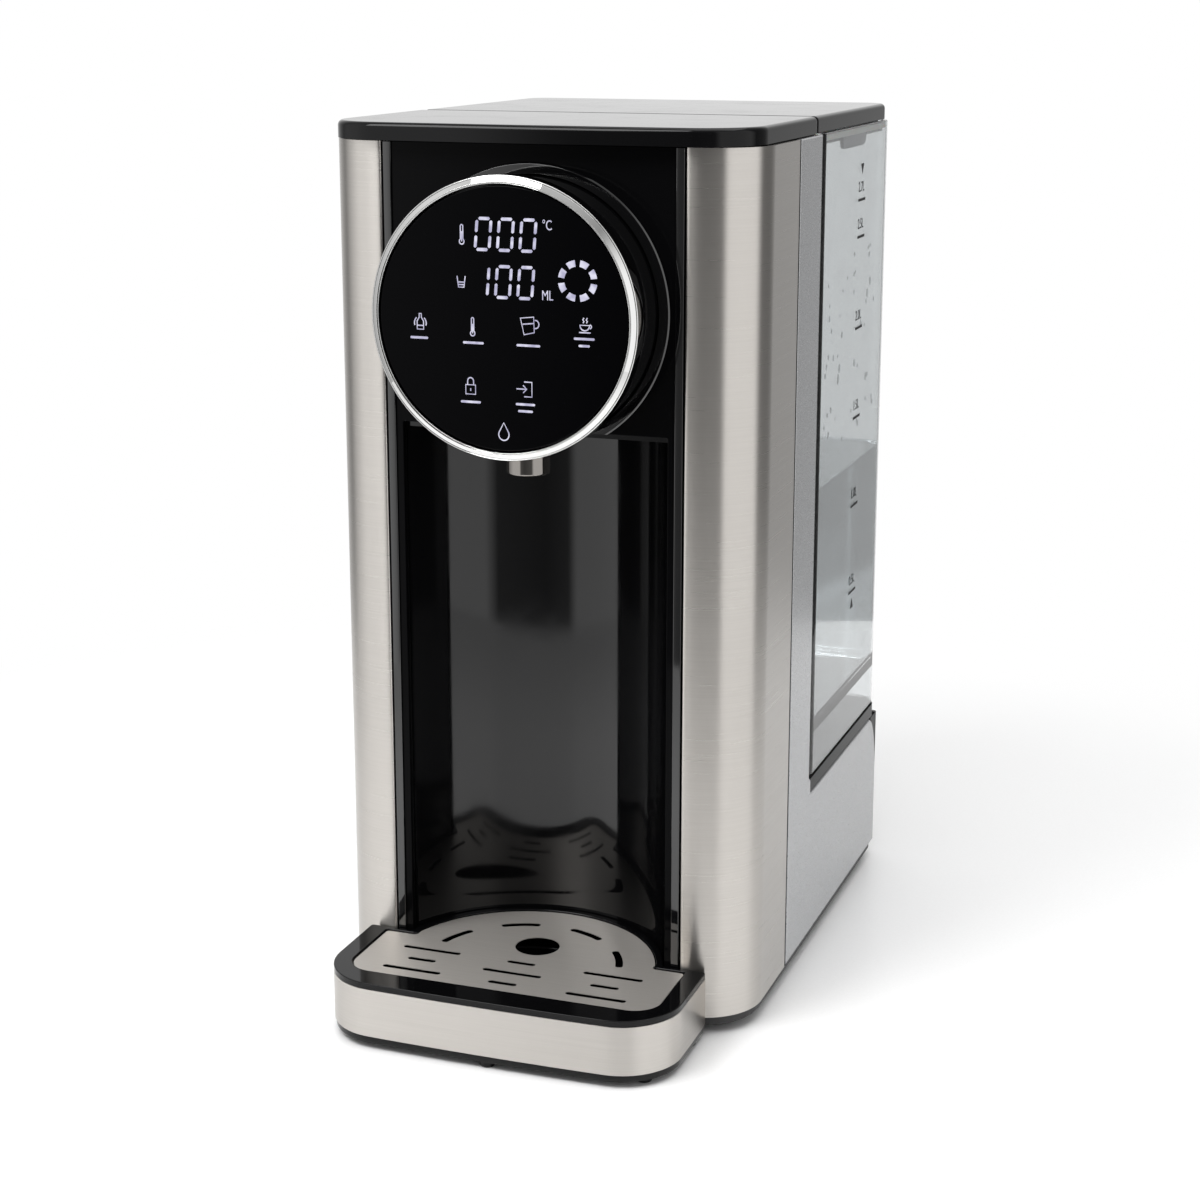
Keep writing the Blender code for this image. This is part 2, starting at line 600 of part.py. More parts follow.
# ---------------------------------------------------------------- tank and valve
def build_tank(frame, valve):
    """The clear tank with its valve, strainer and sprung plunger."""
    outside, inside = tank_plan(0.0), tank_plan(TANK_WALL)
    tank = piece("water_tank", loft([
        (inside, FLOOR_UNDER), (inside, TANK_BOTTOM), (outside, TANK_BOTTOM + LEDGE),
        (outside, TANK_TOP), (inside, TANK_TOP + LEDGE), (inside, FLOOR_TOP)]), CLEAR, parent=frame)
    cut(tank, cylinder(0.0090, 0.0800, 0.0900, 24), (0, VALVE_Y, 0))

    piece("valve_body", turned([
        (0.0066, 0.0883), (0.0066, 0.0780), (0.0032, 0.0780), (0.0032, 0.0760), (0.0066, 0.0760),
        (0.0066, 0.0720), (0.0087, 0.0720), (0.0087, 0.0863), (0.0130, 0.0863), (0.0130, 0.0883)],
        24, ring=True), WHITE, (0, VALVE_Y, 0), parent=frame)
    nut = piece("valve_nut", prism(arc((0, 0), 0.0130, 0, 300, 5), 0.0795, 0.0811), WHITE, (0, VALVE_Y, 0),
                parent=frame)
    cut(nut, cylinder(0.0090, 0.0750, 0.0850, 20), (0, VALVE_Y, 0))
    piece("valve_seal", turned([
        (0.0091, 0.0814), (0.0120, 0.0814), (0.0120, 0.0827), (0.0091, 0.0827)], 24, ring=True),
        SILICONE, (0, VALVE_Y, 0), parent=frame)
    strainer = piece("strainer", turned([
        (0, 0.0890), (0.0128, 0.0890), (0.0128, 0.0965), (0.0118, 0.0975), (0, 0.0975)], 20), WHITE,
        (0, VALVE_Y, 0), parent=frame)
    cut(strainer, cylinder(0.0114, 0.0902, 0.0963, 20), (0, VALVE_Y, 0))
    cut(strainer, cylinder(0.0026, 0.0800, 0.0950, 12), (0, VALVE_Y, 0))
    for number in range(8):
        turn = Matrix.Rotation(math.tau * number / 8, 4, "Z")
        cut(strainer, box((0.0100, -0.0016, 0.0915), (0.0150, 0.0016, 0.0950)), (0, VALVE_Y, 0), turn)

    piece("valve_plunger", turned([
        (0, 0.0710), (0.0018, 0.0710), (0.0018, 0.0783), (0.0054, 0.0783), (0.0054, 0.0800),
        (0.0018, 0.0803), (0.0018, 0.0870), (0, 0.0870)], 16), WHITE, (0, VALVE_Y, 0), parent=valve)
    piece("valve_spring", coil(0.0038, 0.00035, 0.0806, 0.0886, 4), ZINC, (0, VALVE_Y, 0), parent=valve)


def build_deck():
    """The tank's seat, and the socket that its valve plugs into."""
    inside, full, chamfered = [deck_outline(inset) for inset in (0.0022, 0.0, 0.0006)]
    deck = piece("tank_deck", loft([
        (inside, 0.0648), (inside, DECK_BOTTOM), (full, DECK_BOTTOM + LEDGE),
        (full, DECK_TOP - 0.0006), (chamfered, DECK_TOP)]), BLACK)
    outlet = 0.0050
    cut(deck, cylinder(BARB + 0.0004, 0.0600, 0.0700, 16), (outlet, VALVE_Y, 0))
    socket = piece("tank_socket", turned([
        (0, 0.0675), (0.0128, 0.0675), (0.0128, 0.0765), (0.0122, 0.0770), (0.0110, 0.0770),
        (0.0110, 0.0692), (0.0012, 0.0692), (0.0012, 0.0703), (0, 0.0707)], 24), WHITE, (0, VALVE_Y, 0))
    join(socket, cylinder(BARB, 0.0500, 0.0680, 16), (outlet, VALVE_Y, 0))
    cut(socket, cylinder(BORE, 0.0400, 0.0720, 16), (outlet, VALVE_Y, 0))
    piece("socket_seal", turned([
        (0.0091, 0.0735), (0.0106, 0.0735), (0.0106, 0.0755), (0.0091, 0.0755)], 24, ring=True),
        SILICONE, (0, VALVE_Y, 0))


# ---------------------------------------------------------------- water and power inside
def build_pump(rotor):
    """The pump: body with its two barbs, motor, impeller and cradle."""
    axis = (PUMP_X, PUMP_Y, PUMP_Z)
    body = piece("pump_body", turned([
        (0.0135, -0.0064), (0.0160, -0.0064), (0.0160, 0.0065), (0.0155, 0.0070), (BARB, 0.0070),
        (BARB, 0.0170), (BORE, 0.0170), (BORE, 0.0050), (0.0135, 0.0050)], 24, ring=True), WHITE,
        axis, FACING_RIGHT)
    outlet = (PUMP_X, PUMP_Y - 0.0080, PUMP_Z + 0.0100)
    join(body, cylinder(BARB, 0.0, 0.0200, 16), outlet, FACING_FRONT)
    cut(body, cylinder(0.0134, -0.0100, 0.0049, 24), axis, FACING_RIGHT)
    cut(body, cylinder(BORE, -0.0060, 0.0300, 12), outlet, FACING_FRONT)
    piece("pump_motor", turned([
        (0, -0.0140), (0.0016, -0.0140), (0.0016, -0.0067), (0.0160, -0.0067), (0.0160, -0.0086),
        (0.0125, -0.0086), (0.0125, -0.0300), (0.0115, -0.0310), (0, -0.0310)], 24), ZINC, axis,
        FACING_RIGHT)
    impeller = piece("pump_impeller", turned([
        (0, -0.0130), (0.0012, -0.0130), (0.0012, -0.0040), (0.0115, -0.0040), (0.0115, -0.0026),
        (0.0032, -0.0026), (0.0032, 0.0030), (0, 0.0030)], 24), WHITE, axis, FACING_RIGHT, parent=rotor)
    for number in range(6):
        turn = FACING_RIGHT @ Matrix.Rotation(math.tau * (number + 0.5) / 6, 4, "Z")
        join(impeller, box((0.0025, -0.0006, -0.0030), (0.0110, 0.0006, 0.0022)), axis, turn)
    cradle = piece("pump_cradle", box((-0.0560, PUMP_Y - CRADLE_HALF, PAN_TOP + GAP),
                                      (-0.0420, PUMP_Y + CRADLE_HALF, 0.0240)), BLACK)
    cut(cradle, cylinder(0.0129, -0.0400, 0.0, 24), axis, FACING_RIGHT)


def build_heater():
    """The upright heater tube with its clamps, thermostat and sensor."""
    place = (HEATER_X, HEATER_Y, 0)
    piece("heater_tube", turned([
        (BORE, 0.0900), (BARB, 0.0900), (BARB, 0.1000), (0.0135, 0.1000), (0.0145, 0.1010),
        (0.0145, 0.1890), (0.0135, 0.1900), (BARB, 0.1900), (BARB, 0.2040), (BORE, 0.2040),
        (BORE, 0.1885), (0.0128, 0.1885), (0.0128, 0.1015), (BORE, 0.1015)], 20, ring=True),
        HEATER_STEEL, place)
    for name, bottom in (("heater_clamp_lower", 0.112), ("heater_clamp_upper", 0.170)):
        clamp = piece(name, turned([(0.0149, bottom), (0.0163, bottom), (0.0163, bottom + 0.008),
                                    (0.0149, bottom + 0.008)], 24, ring=True), ZINC, place)
        join(clamp, box((-0.0200, 0.0153, bottom + 0.0005), (0.0200, 0.0178, bottom + 0.0075)), place)
    piece("thermostat", turned([(0, 0.0148), (0.0075, 0.0148), (0.0075, 0.0200), (0.0055, 0.0205),
                                (0.0055, 0.0245), (0, 0.0245)], 20), BLACK, (HEATER_X, HEATER_Y, 0.150),
          FACING_RIGHT)
    piece("temperature_sensor", turned([(0, 0.1904), (0.0018, 0.1904), (0.0018, 0.1985), (0.0026, 0.1990),
                                        (0.0026, 0.2020), (0, 0.2020)], 12), ZINC,
          (HEATER_X + 0.0085, HEATER_Y, 0))


def build_boards():
    """The control board with its four tall parts: relay, transformer, choke and heatsink."""
    board = piece("control_board", box((0.004, 0.0010, 0.095), (0.066, 0.0026, 0.200)), BOARD)
    relay = ((0.010, 0.105), (0.020, 0.016, 0.016))
    transformer = ((0.038, 0.108), (0.022, 0.018, 0.020))
    choke = ((0.012, 0.150), (0.012, 0.014, 0.018))
    heatsink = ((0.040, 0.150), (0.018, 0.010, 0.034))
    for (x, z), (width, depth, height) in (relay, transformer, choke, heatsink):
        join(board, box((x, 0.0012 - depth, z), (x + width, 0.0012, z + height)))


def build_hoses():
    """Three silicone hoses: socket to pump, pump to heater, heater to nozzle."""
    intake = 0.005
    hoses = {
        "intake_hose": [(intake, VALVE_Y, 0.0585), (intake, VALVE_Y, 0.0500),
                        (intake - 0.0010, VALVE_Y, 0.0400), (-0.0050, VALVE_Y, 0.0318),
                        (-0.0130, VALVE_Y, PUMP_Z), (-0.0195, VALVE_Y, PUMP_Z)],
        "pressure_hose": [(PUMP_X, 0.0430, 0.0400), (PUMP_X, 0.0340, 0.0400), (-0.0300, 0.0180, 0.0410),
                          (-0.0325, 0.0010, 0.0480), (-0.0345, -0.0100, 0.0620),
                          (HEATER_X, HEATER_Y, 0.0780), (HEATER_X, HEATER_Y, 0.0880),
                          (HEATER_X, HEATER_Y, 0.0970)],
        "outlet_hose": [(HEATER_X, HEATER_Y, 0.1940), (HEATER_X, HEATER_Y, 0.2080),
                        (-0.0340, -0.0150, 0.2240), (-0.0220, -0.0260, 0.2400),
                        (-0.0060, -0.0420, 0.2460), (0, -0.0560, HEAD_Z), (0, -0.0640, 0.2440),
                        (0, -0.0720, 0.2350), (0, NOZZLE_Y, 0.2240), (0, NOZZLE_Y, 0.2140),
                        (0, NOZZLE_Y, NOZZLE_FLANGE + 0.0018)],
    }
    for name, points in hoses.items():
        piece(name, hose(points), SILICONE)


# ---------------------------------------------------------------- drip tray
def build_tray(tray, grid):
    """The drip tray with its basin and nubs, the steel band round it and the slotted grid."""
    def outer(inset, back=0.0, flat=False):
        return tray_outline(TRAY_HALF, TRAY_FRONT, TRAY_CORNER, TRAY_SHOULDER, TONGUE_HALF,
                            TONGUE_RADIUS, inset, back, TRAY_BOW, flat)

    def basin(inset):
        return tray_outline(GRID_HALF, GRID_FRONT, GRID_CORNER, GRID_SHOULDER, GRID_TONGUE_HALF,
                            GRID_RADIUS, inset)

    step = 0.0001
    seat = GRID_TOP - GRID_SHEET - GAP
    wall = 0.0012
    shape = loft([
        (outer(0.0010, 0.0006, True), 0.0023), (outer(0.0004, 0.0002, True), 0.0029),
        (outer(0.0004, 0.0002, True), 0.0046), (outer(wall, 0.0002, True), 0.0046 + step),
        (outer(wall, 0.0002, True), 0.0070), (outer(wall, 0.0002), 0.0076),
        (outer(wall, 0.0002), 0.0220 - step), (outer(0.0), 0.0220), (outer(0.0), 0.0230),
        (outer(0.0004, 0.0002), 0.0237), (outer(0.0012, 0.0006), 0.0240), (basin(-0.0010), 0.0240),
        (basin(-0.0004), 0.0235), (basin(-0.0004), seat), (basin(0.0016), seat - step),
        (basin(0.0024), 0.0100)])
    bmesh.ops.triangulate(shape, faces=shape.faces)
    body = piece("drip_tray", shape, BLACK, parent=tray)
    nub = [(0, 0), (0.0020, 0), (0.0026, 0.0006), (0.0026, 0.0030), (0, 0.0030)]
    for x, y in NUB_SPOTS:
        join(body, turned(nub, 12), (x, y, 0))

    band_end = TRAY_SHOULDER - 0.0002
    around, inside = [rounded_outline(TRAY_HALF, TRAY_FRONT, 0.0, TRAY_CORNER, 0.0010, inset, TRAY_BOW, 8)
                      for inset in (0.0, 0.0008)]
    band = piece("tray_band", prism(around, BAND_BOTTOM, BAND_TOP), STEEL, parent=tray)
    cut(band, prism(inside, 0.0, 0.0300))
    cut(band, box((-0.1, band_end, 0.0), (0.1, 0.1, 0.0300)))

    plate = piece("drip_grid", prism(basin(0.0), GRID_TOP - GRID_SHEET, GRID_TOP), STEEL,
                  parent=grid)
    low, high = 0.0150, 0.0300
    cut(plate, cylinder(0.0077, low, high, 20), (0, -0.0693, 0))
    for middle in (25, 68, 112, 155):
        cut(plate, prism(arc_slot((0, NICHE_Y), 0.0333, middle, 24, 0.0026), low, high))
    rows = (-0.0845, -0.0932, -0.1019)
    for column in (-1, 0, 1):
        for number, y in enumerate(rows):
            long_slot = (number + column) % 2 == 1 if column else number == 1
            length = 0.0212 if long_slot else 0.0102
            cut(plate, prism(stadium((0.0332 * column, y), length, 0.0022, 3), low, high))


def build():
    """Makes the joint frames, then every piece."""
    tank = joint_frame("tank_lift", (0, VALVE_Y, TANK_BOTTOM))
    lid = joint_frame("lid_lift", (0, VALVE_Y, COVER_Z))
    valve = joint_frame("valve_travel", (0, VALVE_Y, 0.0783))
    tray = joint_frame("tray_slide", (0, -0.0950, 0))
    grid = joint_frame("grid_lift", (0, -0.0850, GRID_TOP))
    rotor = joint_frame("impeller_axis", (PUMP_X, PUMP_Y, PUMP_Z))
    build_base()
    build_feet()
    build_frame()
    build_columns()
    build_side_panels()
    build_rear_cover()
    build_front()
    build_head()
    build_covers(lid)
    build_tank(tank, valve)
    build_deck()
    build_pump(rotor)
    build_heater()
    build_boards()
    build_hoses()
    build_tray(tray, grid)


build()
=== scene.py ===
"""Looks of a countertop hot-water dispenser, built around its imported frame.

Metres, +Z up, front towards -Y, origin at the centre of the footprint on the surface that it
stands on. Every piece is built in place, so its object stays at the origin.
"""
import json
import logging
import math
import random
from dataclasses import dataclass, field
from enum import Enum
from typing import Any, Iterable, Sequence

import bmesh
import bpy
from bmesh.types import BMesh, BMEdge, BMVert
from mathutils import Matrix, Vector

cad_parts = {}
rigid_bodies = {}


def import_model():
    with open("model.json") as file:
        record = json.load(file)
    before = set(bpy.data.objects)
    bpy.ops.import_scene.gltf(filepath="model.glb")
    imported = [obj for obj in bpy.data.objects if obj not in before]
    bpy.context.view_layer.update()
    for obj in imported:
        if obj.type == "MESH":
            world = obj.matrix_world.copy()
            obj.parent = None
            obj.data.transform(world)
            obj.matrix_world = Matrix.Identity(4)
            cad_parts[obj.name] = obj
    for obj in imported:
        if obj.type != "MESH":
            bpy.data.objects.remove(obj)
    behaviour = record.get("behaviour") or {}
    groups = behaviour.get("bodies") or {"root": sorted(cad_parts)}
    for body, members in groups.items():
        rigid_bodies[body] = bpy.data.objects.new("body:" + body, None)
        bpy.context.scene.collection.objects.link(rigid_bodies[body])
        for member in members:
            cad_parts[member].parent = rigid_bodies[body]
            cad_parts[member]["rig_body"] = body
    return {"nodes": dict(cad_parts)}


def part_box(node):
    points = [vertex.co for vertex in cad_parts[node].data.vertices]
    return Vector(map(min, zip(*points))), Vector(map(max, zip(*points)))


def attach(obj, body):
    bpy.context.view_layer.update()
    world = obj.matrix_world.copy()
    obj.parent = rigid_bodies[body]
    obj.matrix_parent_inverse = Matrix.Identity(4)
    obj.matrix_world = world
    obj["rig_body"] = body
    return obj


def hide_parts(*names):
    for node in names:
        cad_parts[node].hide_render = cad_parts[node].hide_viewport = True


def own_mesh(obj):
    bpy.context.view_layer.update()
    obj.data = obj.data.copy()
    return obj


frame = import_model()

LOG = logging.getLogger("dispenser")
MM = 0.001
TINY = 1e-6

FACING_FRONT = Matrix.Rotation(math.radians(90), 4, "X")
# drawn flat as (Y, Z) and stood up, so that the drawing's face looks along +X
ON_THE_SIDE = Matrix(((0, 0, 1, 0), (1, 0, 0, 0), (0, 1, 0, 0), (0, 0, 0, 1)))


class Body(Enum):
    """The bodies that pieces ride on."""

    HOUSING = "housing"
    TANK = "tank"
    LID = "lid"
    VALVE = "valve"
    TRAY = "tray"
    GRID = "grid"
    ROTOR = "rotor"


class Slot(Enum):
    """The record's material slots."""

    STEEL = "brushed_stainless"
    CHROME = "polished_chrome"
    GLOSS = "gloss_black"
    SATIN = "satin_black"
    SILVER = "silver_lacquer"
    CLEAR = "clear_tank"
    DISPLAY = "display_face"
    RUBBER = "rubber"
    SILICONE = "silicone"
    BOARD = "circuit_board"
    HEATER = "heater_steel"
    NYLON = "white_nylon"
    ZINC = "zinc_steel"


class Cut(Enum):
    """What a helper solid does to the solid that it is applied to."""

    REMOVE = "DIFFERENCE"
    ADD = "UNION"


class Grain(Enum):
    """Which way the lines of a brushed sheet run."""

    LEVEL = "level"
    ACROSS = "across"


# ---------------------------------------------------------------- colours and nodes
def linear(hex_colour: str) -> tuple[float, float, float, float]:
    """Turns an sRGB hex colour into linear red, green, blue and alpha.

    Args:
        hex_colour: Six hex digits after a hash sign.

    Returns:
        Four numbers from 0 to 1.
    """
    def channel(start: int) -> float:
        """One channel's linear value, from two digits."""
        value = int(hex_colour[start:start + 2], 16) / 255
        return value / 12.92 if value <= 0.04045 else ((value + 0.055) / 1.055) ** 2.4

    return channel(1), channel(3), channel(5), 1.0


def add(tree: bpy.types.NodeTree, kind: str, inputs: dict[Any, Any] | None = None,
        **settings: Any) -> bpy.types.Node:
    """Adds a node with its settings, and sets or links its inputs.

    Args:
        tree: The node tree of a material or the world.
        kind: The node's type.
        inputs: Values or other nodes' outputs, by socket name or number.
        **settings: The node's own properties.

    Returns:
        The new node.
    """
    made = tree.nodes.new(kind)
    for name, value in settings.items():
        setattr(made, name, value)
    for key, value in (inputs or {}).items():
        if isinstance(value, bpy.types.NodeSocket):
            tree.links.new(value, made.inputs[key])
        else:
            made.inputs[key].default_value = value
    return made


def per(pitch: float) -> float:
    """The texture scale that gives a pattern the pitch in metres."""
    return 1.0 / pitch


# ---------------------------------------------------------------- finishes
@dataclass(frozen=True)
class Finish:
    """A real material with the way its surface was made."""

    name: str
    slot: Slot

    def build(self) -> bpy.types.Material:
        """Makes the node material, which reads Object coordinates at real scale.

        Returns:
            The material.
        """
        material = bpy.data.materials.new(self.name)
        material.use_nodes = True
        tree = material.node_tree
        tree.nodes.clear()
        place = add(tree, "ShaderNodeTexCoord").outputs["Object"]
        shader = self.shade(tree, place)
        add(tree, "ShaderNodeOutputMaterial", {"Surface": shader.outputs[0]})
        return material

    def shade(self, tree: bpy.types.NodeTree, place: bpy.types.NodeSocket) -> bpy.types.Node:
        """Adds the shader and its patterns; every finish has its own."""
        raise NotImplementedError


@dataclass(frozen=True)
class BrushedStainless(Finish):
    """Stainless sheet with hairline brushing.

    The eye sees soft bands of light standing across fine lines that run one way, a warm grey,
    and here and there a longer, deeper line.
    """

    dark: str = "#BBB7B2"
    light: str = "#C2BEB9"
    grain: Grain = Grain.LEVEL
    line_pitch: float = 0.6 * MM  # coarser than the real 0.1 mm, so that the lines show
    line_length: float = 60 * MM
    roughness: float = 0.28
    stretch: float = 0.88
    lines: float = 0.008

    def shade(self, tree: bpy.types.NodeTree, place: bpy.types.NodeSocket) -> bpy.types.Node:
        """Lines as stretched noise that tints, roughens and grooves the metal.

        Args:
            tree: The material's node tree.
            place: The surface point's Object coordinates.

        Returns:
            The shader node.
        """
        along, across = per(self.line_length), per(self.line_pitch)
        scale = (along, along, across) if self.grain is Grain.LEVEL else (along, across, along)
        tangent = (0.0, 0.0, 1.0) if self.grain is Grain.LEVEL else (0.0, 1.0, 0.0)
        mapped = add(tree, "ShaderNodeMapping", {"Vector": place, "Scale": scale})
        hair = add(tree, "ShaderNodeTexNoise", {"Vector": mapped.outputs[0], "Scale": 1.0, "Detail": 3.0,
                                                "Roughness": 0.65})
        cloud = add(tree, "ShaderNodeTexNoise", {"Vector": place, "Scale": per(70 * MM), "Detail": 2.0})
        both = add(tree, "ShaderNodeMix", {"Factor": 0.2, "A": hair.outputs[0], "B": cloud.outputs[0]},
                   data_type="FLOAT")
        tone = add(tree, "ShaderNodeMapRange", {"Value": both.outputs[0], "From Min": 0.3, "From Max": 0.7})
        colour = add(tree, "ShaderNodeMix", {"Factor": tone.outputs[0], 6: linear(self.dark),
                                             7: linear(self.light)}, data_type="RGBA")
        rough = add(tree, "ShaderNodeMapRange", {"Value": hair.outputs[0], "From Min": 0.3, "From Max": 0.7,
                                                 "To Min": self.roughness + self.lines,
                                                 "To Max": self.roughness - self.lines})
        bump = add(tree, "ShaderNodeBump", {"Height": hair.outputs[0], "Strength": 0.05,
                                            "Distance": 0.0002 * MM})
        axis = add(tree, "ShaderNodeCombineXYZ", {"X": tangent[0], "Y": tangent[1], "Z": tangent[2]})
        return add(tree, "ShaderNodeBsdfPrincipled", {
            "Base Color": colour.outputs[2], "Metallic": 1.0, "Roughness": rough.outputs[0],
            "Anisotropic": self.stretch, "Tangent": axis.outputs[0], "Normal": bump.outputs[0]})


@dataclass(frozen=True)
class PolishedMetal(Finish):
    """Chromed or polished metal.

    The eye sees an almost perfect mirror, softened a little where fingers and cloths have been.
    """

    colour: str = "#DEDEDD"
    roughness: float = 0.06
    smear_pitch: float = 14 * MM

    def shade(self, tree: bpy.types.NodeTree, place: bpy.types.NodeSocket) -> bpy.types.Node:
        """A mirror whose sharpness varies in wide smears.

        Args:
            tree: The material's node tree.
            place: The surface point's Object coordinates.

        Returns:
            The shader node.
        """
        smear = add(tree, "ShaderNodeTexNoise", {"Vector": place, "Scale": per(self.smear_pitch),
                                                 "Detail": 3.0})
        rough = add(tree, "ShaderNodeMapRange",
                    {"Value": smear.outputs[0], "From Min": 0.35, "From Max": 0.7,
                                                 "To Min": self.roughness * 0.6,
                     "To Max": self.roughness * 1.6})
        return add(tree, "ShaderNodeBsdfPrincipled", {
            "Base Color": linear(self.colour), "Metallic": 1.0, "Roughness": rough.outputs[0]})


@dataclass(frozen=True)
class PianoBlack(Finish):
    """Gloss black moulded ABS.

    The eye sees depthless black with a wet mirror on it, a trace of orange peel from the mould
    and faint wipe marks that only change the sharpness.
    """

    colour: str = "#070708"
    roughness: float = 0.05
    reflectance: float = 0.5
    peel_pitch: float = 9 * MM
    peel_depth: float = 0.002 * MM

    def shade(self, tree: bpy.types.NodeTree, place: bpy.types.NodeSocket) -> bpy.types.Node:
        """Smears in roughness and a very shallow orange peel.

        Args:
            tree: The material's node tree.
            place: The surface point's Object coordinates.

        Returns:
            The shader node.
        """
        smear = add(tree, "ShaderNodeTexNoise", {"Vector": place, "Scale": per(22 * MM), "Detail": 4.0,
                                                 "Roughness": 0.6})
        rough = add(tree, "ShaderNodeMapRange",
                    {"Value": smear.outputs[0], "From Min": 0.4, "From Max": 0.7,
                                                 "To Min": self.roughness, "To Max": self.roughness * 2.2})
        peel = add(tree, "ShaderNodeTexNoise",
                   {"Vector": place, "Scale": per(self.peel_pitch), "Detail": 1.0})
        bump = add(tree, "ShaderNodeBump", {"Height": peel.outputs[0], "Strength": 0.5,
                                            "Distance": self.peel_depth})
        return add(tree, "ShaderNodeBsdfPrincipled", {
            "Base Color": linear(self.colour), "Roughness": rough.outputs[0],
            "Specular IOR Level": self.reflectance, "Normal": bump.outputs[0]})


@dataclass(frozen=True)
class MouldedPlastic(Finish):
    """Moulded thermoplastic with a fine spark-eroded grain.

    The eye sees an even, soft sheen broken by a tiny pebble texture; the raised grains are
    painted slightly lighter, a painted highlight, over a random drift in tone.
    """

    dark: str = "#121213"
    light: str = "#1B1B1C"
    roughness: float = 0.45
    grain_pitch: float = 0.45 * MM
    grain_depth: float = 0.02 * MM
    subsurface: float = 0.0

    def shade(self, tree: bpy.types.NodeTree, place: bpy.types.NodeSocket) -> bpy.types.Node:
        """Pebble grain that roughens and raises the surface and paints a highlight on its raised grains.

        Args:
            tree: The material's node tree.
            place: The surface point's Object coordinates.

        Returns:
            The shader node.
        """
        grain = add(tree, "ShaderNodeTexNoise",
                    {"Vector": place, "Scale": per(self.grain_pitch), "Detail": 2.0})
        drift = add(tree, "ShaderNodeTexNoise", {"Vector": place, "Scale": per(35 * MM), "Detail": 2.0})
        # the colour follows the grain's height, a painted highlight on the raised grains; the drift adds
        # random tone
        both = add(tree, "ShaderNodeMix", {"Factor": 0.4, "A": grain.outputs[0], "B": drift.outputs[0]},
                   data_type="FLOAT")
        tone = add(tree, "ShaderNodeMapRange",
                   {"Value": both.outputs[0], "From Min": 0.38, "From Max": 0.62})
        colour = add(tree, "ShaderNodeMix", {"Factor": tone.outputs[0], 6: linear(self.dark),
                                             7: linear(self.light)}, data_type="RGBA")
        rough = add(tree, "ShaderNodeMapRange",
                    {"Value": grain.outputs[0], "From Min": 0.3, "From Max": 0.7,
                                                 "To Min": self.roughness - 0.06,
                     "To Max": self.roughness + 0.08})
        bump = add(tree, "ShaderNodeBump", {"Height": grain.outputs[0], "Strength": 0.5,
                                            "Distance": self.grain_depth})
        return add(tree, "ShaderNodeBsdfPrincipled", {
            "Base Color": colour.outputs[2], "Roughness": rough.outputs[0],
            "Subsurface Weight": self.subsurface, "Subsurface Scale": 2 * MM, "Normal": bump.outputs[0]})


@dataclass(frozen=True)
class SilverLacquer(Finish):
    """Moulded ABS sprayed with silver lacquer.

    The eye sees a smooth cool grey with a faint sparkle of metal flakes under a clear coat.
    """

    dark: str = "#A6A7A9"
    light: str = "#B1B2B4"
    flake: float = 0.35 * MM  # coarser than real flake of 0.05 mm, so that the sparkle shows

    def shade(self, tree: bpy.types.NodeTree, place: bpy.types.NodeSocket) -> bpy.types.Node:
        """Flakes as small cells, each with its own tone and tilt.

        Args:
            tree: The material's node tree.
            place: The surface point's Object coordinates.

        Returns:
            The shader node.
        """
        cells = add(tree, "ShaderNodeTexVoronoi", {"Vector": place, "Scale": per(self.flake)})
        flake = add(tree, "ShaderNodeSeparateColor", {0: cells.outputs["Color"]})
        drift = add(tree, "ShaderNodeTexNoise", {"Vector": place, "Scale": per(60 * MM), "Detail": 2.0})
        both = add(tree, "ShaderNodeMix", {"Factor": 0.45, "A": flake.outputs[0], "B": drift.outputs[0]},
                   data_type="FLOAT")
        colour = add(tree, "ShaderNodeMix", {"Factor": both.outputs[0], 6: linear(self.dark),
                                             7: linear(self.light)}, data_type="RGBA")
        rough = add(tree, "ShaderNodeMapRange", {"Value": flake.outputs[1], "To Min": 0.26, "To Max": 0.36})
        bump = add(tree, "ShaderNodeBump", {"Height": flake.outputs[2], "Strength": 0.05,
                                            "Distance": 0.0003 * MM})
        return add(tree, "ShaderNodeBsdfPrincipled", {
            "Base Color": colour.outputs[2], "Metallic": 0.72, "Roughness": rough.outputs[0],
            "Coat Weight": 0.35, "Coat Roughness": 0.12, "Normal": bump.outputs[0]})


@dataclass(frozen=True)
class ClearMoulding(Finish):
    """Clear copolyester, injection moulded.

    The eye sees a pale grey, almost glass-like wall with slight flow waves and a breath of haze.
    """

    colour: str = "#EAEDEE"
    roughness: float = 0.03
    refraction: float = 1.54
    wave_pitch: float = 45 * MM

    def shade(self, tree: bpy.types.NodeTree, place: bpy.types.NodeSocket) -> bpy.types.Node:
        """Flow waves in the surface and a little haze.

        Args:
            tree: The material's node tree.
            place: The surface point's Object coordinates.

        Returns:
            The shader node.
        """
        wave = add(tree, "ShaderNodeTexNoise",
                   {"Vector": place, "Scale": per(self.wave_pitch), "Detail": 1.0})
        haze = add(tree, "ShaderNodeTexNoise", {"Vector": place, "Scale": per(12 * MM), "Detail": 4.0})
        rough = add(tree, "ShaderNodeMapRange", {"Value": haze.outputs[0], "From Min": 0.4, "From Max": 0.7,
                                                 "To Min": self.roughness, "To Max": self.roughness * 2.5})
        bump = add(tree, "ShaderNodeBump",
                   {"Height": wave.outputs[0], "Strength": 0.3, "Distance": 0.05 * MM})
        return add(tree, "ShaderNodeBsdfPrincipled", {
            "Base Color": linear(self.colour), "Roughness": rough.outputs[0], "IOR": self.refraction,
            "Transmission Weight": 1.0, "Normal": bump.outputs[0]})


